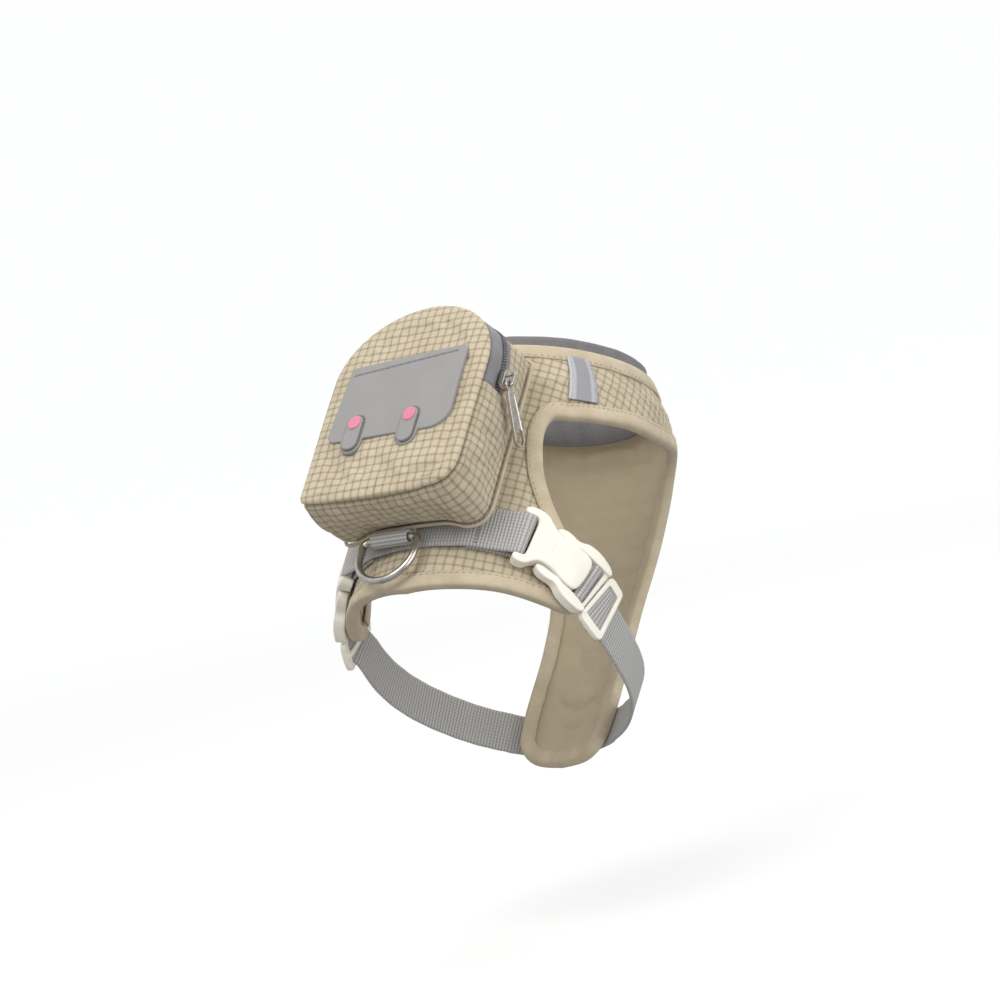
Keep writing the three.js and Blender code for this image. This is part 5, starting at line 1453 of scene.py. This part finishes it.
def makePackBase():
    rings, count = 20, 144
    middle = np.array([0, pack["base"]["top"] * 0.1])
    belt = -0.59 * form["rearReach"] + webbingSize["width"] / 2

    def spot(i, k):
        share = k / rings
        edge = lineAt(baseLine, i * places / count)
        return middle + (edge - middle) * share[:, None], share

    def place(i, k):
        flat, share = spot(i, k)
        around = np.degrees(np.arcsin(np.clip(flat[:, 0] / form["halfWidth"], -1, 1)))
        at = flat[:, 1] / np.where(flat[:, 1] < 0, form["rearReach"], form["neckReach"])
        rest = form["cloth"] + 3 * form["gap"] + 0.3
        over = 1 - smooth(flat[:, 1], belt + tape["width"] / 2, belt + tape["width"] * 1.5)
        resting = onTorso(around, at, rest + (ring["rise"] - rest) * over)[:, 2]
        rim = smooth(share, 0.72, 1)
        low = resting + (baseSeam(flat) - pack["baseWall"] - form["gap"] - resting) * rim
        return np.column_stack([flat * (1 - 0.03 * rim)[:, None], low + pack["baseWall"]])

    bm = bend(count, rings, place, lambda i, k: spot(i, k)[0])
    bmesh.ops.remove_doubles(bm, verts=bm.verts, dist=1e-6)
    bmesh.ops.recalc_face_normals(bm, faces=bm.faces)
    turnOut(bm, bm.faces[:][0], (0, 0, -form["depth"] / 2))
    fit(thicken(finishMesh("pack_back_panel", bm, "checked_cloth"), pack["baseWall"], offset=-1), "pack_base")
    turns, sides = 216, 12

    def cordPlace(i, k):
        at = k * places / turns
        base = lineAt(baseLine, at)
        around = i / sides * 2 * np.pi
        outward = pack["pipingOut"] + pack["piping"] * np.cos(around)
        flat = base + outwardAt(at) * outward[:, None]
        return np.column_stack([flat, baseSeam(base) - 1.1 + np.sin(around) * pack["piping"]])

    bm = closeUp(bend(sides, turns, cordPlace, lambda i, k: np.stack([k * 1.3, i * 0.6], -1)), caps=False)
    fit(finishMesh("pack_edge_piping", bm, "tan_tape"), "pack_piping")
    print("pack front, back and piping")


# rubber flap
flap = {
    "corners": [(-31.8, -21.4), (29.4, -21.3), (28.6, 21.7), (-29.3, 18.6)],
    "rounding": [5.0, 9.5, 3.6, 2.6],
    "low": 37.4, "thickness": 2.0,
    "tabX": (-18.2, 9.6), "tabWidth": 10.6, "tabLength": 20.5, "tabFoot": -28.5, "tabThickness": 1.0,
    "rim": 1.5,
    "moat": 0.6, "moatDepth": 0.95,
    "crease": ((-27.4, 14.0), (24.2, 18.5)),  # the pressed line under its upper edge
    "creaseWidth": 0.5,
    "button": (3.0, 3.4), "buttonHeight": 0.5,
    "voxel": 0.3,
}


def setDown(lift):  # from a flat drawing in mm to its place on the pack's front
    def place(x, y, z):
        droop = 0.0009 * (np.maximum(np.abs(x) - 20, 0) ** 2 + np.maximum(np.abs(y) - 16, 0) ** 2)
        return np.stack([x, y, z + lift - droop], -1)
    return place


def toStretch(x, y, start, end):  # distance from a straight stretch
    start, end = np.array(start, float), np.array(end, float)
    along = end - start
    p = np.stack([x, y], -1) - start
    t = np.clip((p @ along) / (along @ along), 0, 1)
    return np.linalg.norm(p - t[:, None] * along, axis=-1)


def makeFlap():
    half, foot = flap["tabWidth"] / 2, flap["tabFoot"]
    pill = half - flap["rim"]
    low, high = foot + flap["rim"] + pill, foot + flap["tabLength"] - flap["rim"] - pill
    base = setDown(flap["low"])

    def pressed(x, y, z):  # a moat round each strap and the pressed line
        depth = 1 - smooth(toStretch(x, y, *flap["crease"]), flap["creaseWidth"] * 0.4, flap["creaseWidth"])
        for at in flap["tabX"]:
            off = np.abs(toStretch(x, y, (at, low), (at, high)) - pill - flap["moat"] / 2)
            depth = np.maximum(depth, 1 - smooth(off, flap["moat"] * 0.35, flap["moat"]))
        return base(x, y, z - flap["moatDepth"] * depth * smooth(z, 1.2, 1.8))

    bm = bmesh.new()
    bm.faces.new([bm.verts.new((x, y, 0)) for x, y in flap["corners"]])
    for vert, radius in zip(bm.verts[:], flap["rounding"]):
        bmesh.ops.bevel(bm, geom=[vert], offset=radius, offset_type="OFFSET", segments=9, profile=0.5,
                        affect="VERTICES", material=-1)
    face = bm.faces[:][0]
    points = [v.co[:2] for v in face.verts]
    bm.free()
    bm = slab(bmesh.new(), points, 0, flap["thickness"])
    for at in flap["tabX"]:
        slab(bm, plate(at, foot + flap["tabLength"] / 2, 2 * half, flap["tabLength"], half - 0.1, 12), 0,
             flap["thickness"])
    fit(moulded("pack_flap", bm, "grey_rubber", flap["voxel"], 3, pressed), "pack_patch")
    top = flap["thickness"]
    for at, name in zip(flap["tabX"], ("left", "right")):
        middle = (low + high) / 2
        bm = slab(bmesh.new(), plate(at, middle, 2 * pill, high - low + 2 * pill, pill - 0.1, 12), top - 0.3,
                  top + flap["tabThickness"])
        fit(moulded("flap_strap_" + name, bm, "grey_rubber", 0.22, 4, base), "patch_tab_" + name)
        bm = bmesh.new()
        bmesh.ops.create_circle(bm, cap_ends=True, segments=36, radius=1)
        points = [(at + v.co.x * flap["button"][0], high + v.co.y * flap["button"][1]) for v in bm.verts]
        bm.free()
        bm = slab(bmesh.new(), points, top + 0.6, top + flap["tabThickness"] + flap["buttonHeight"])
        fit(moulded("flap_button_" + name, bm, "pink_rubber", 0.18, 4, base), "patch_button_" + name)
    print("rubber flap")


makeStage()
makePanels()
makeBindings()
makeLining()
makeShoulderStrips()
makeBackStrap()
makeBellyStrap()
makeBuckles()
makeZipHardware()
makeRing()
makePackWalls()
makePackFront()
makePackBase()
makeFlap()
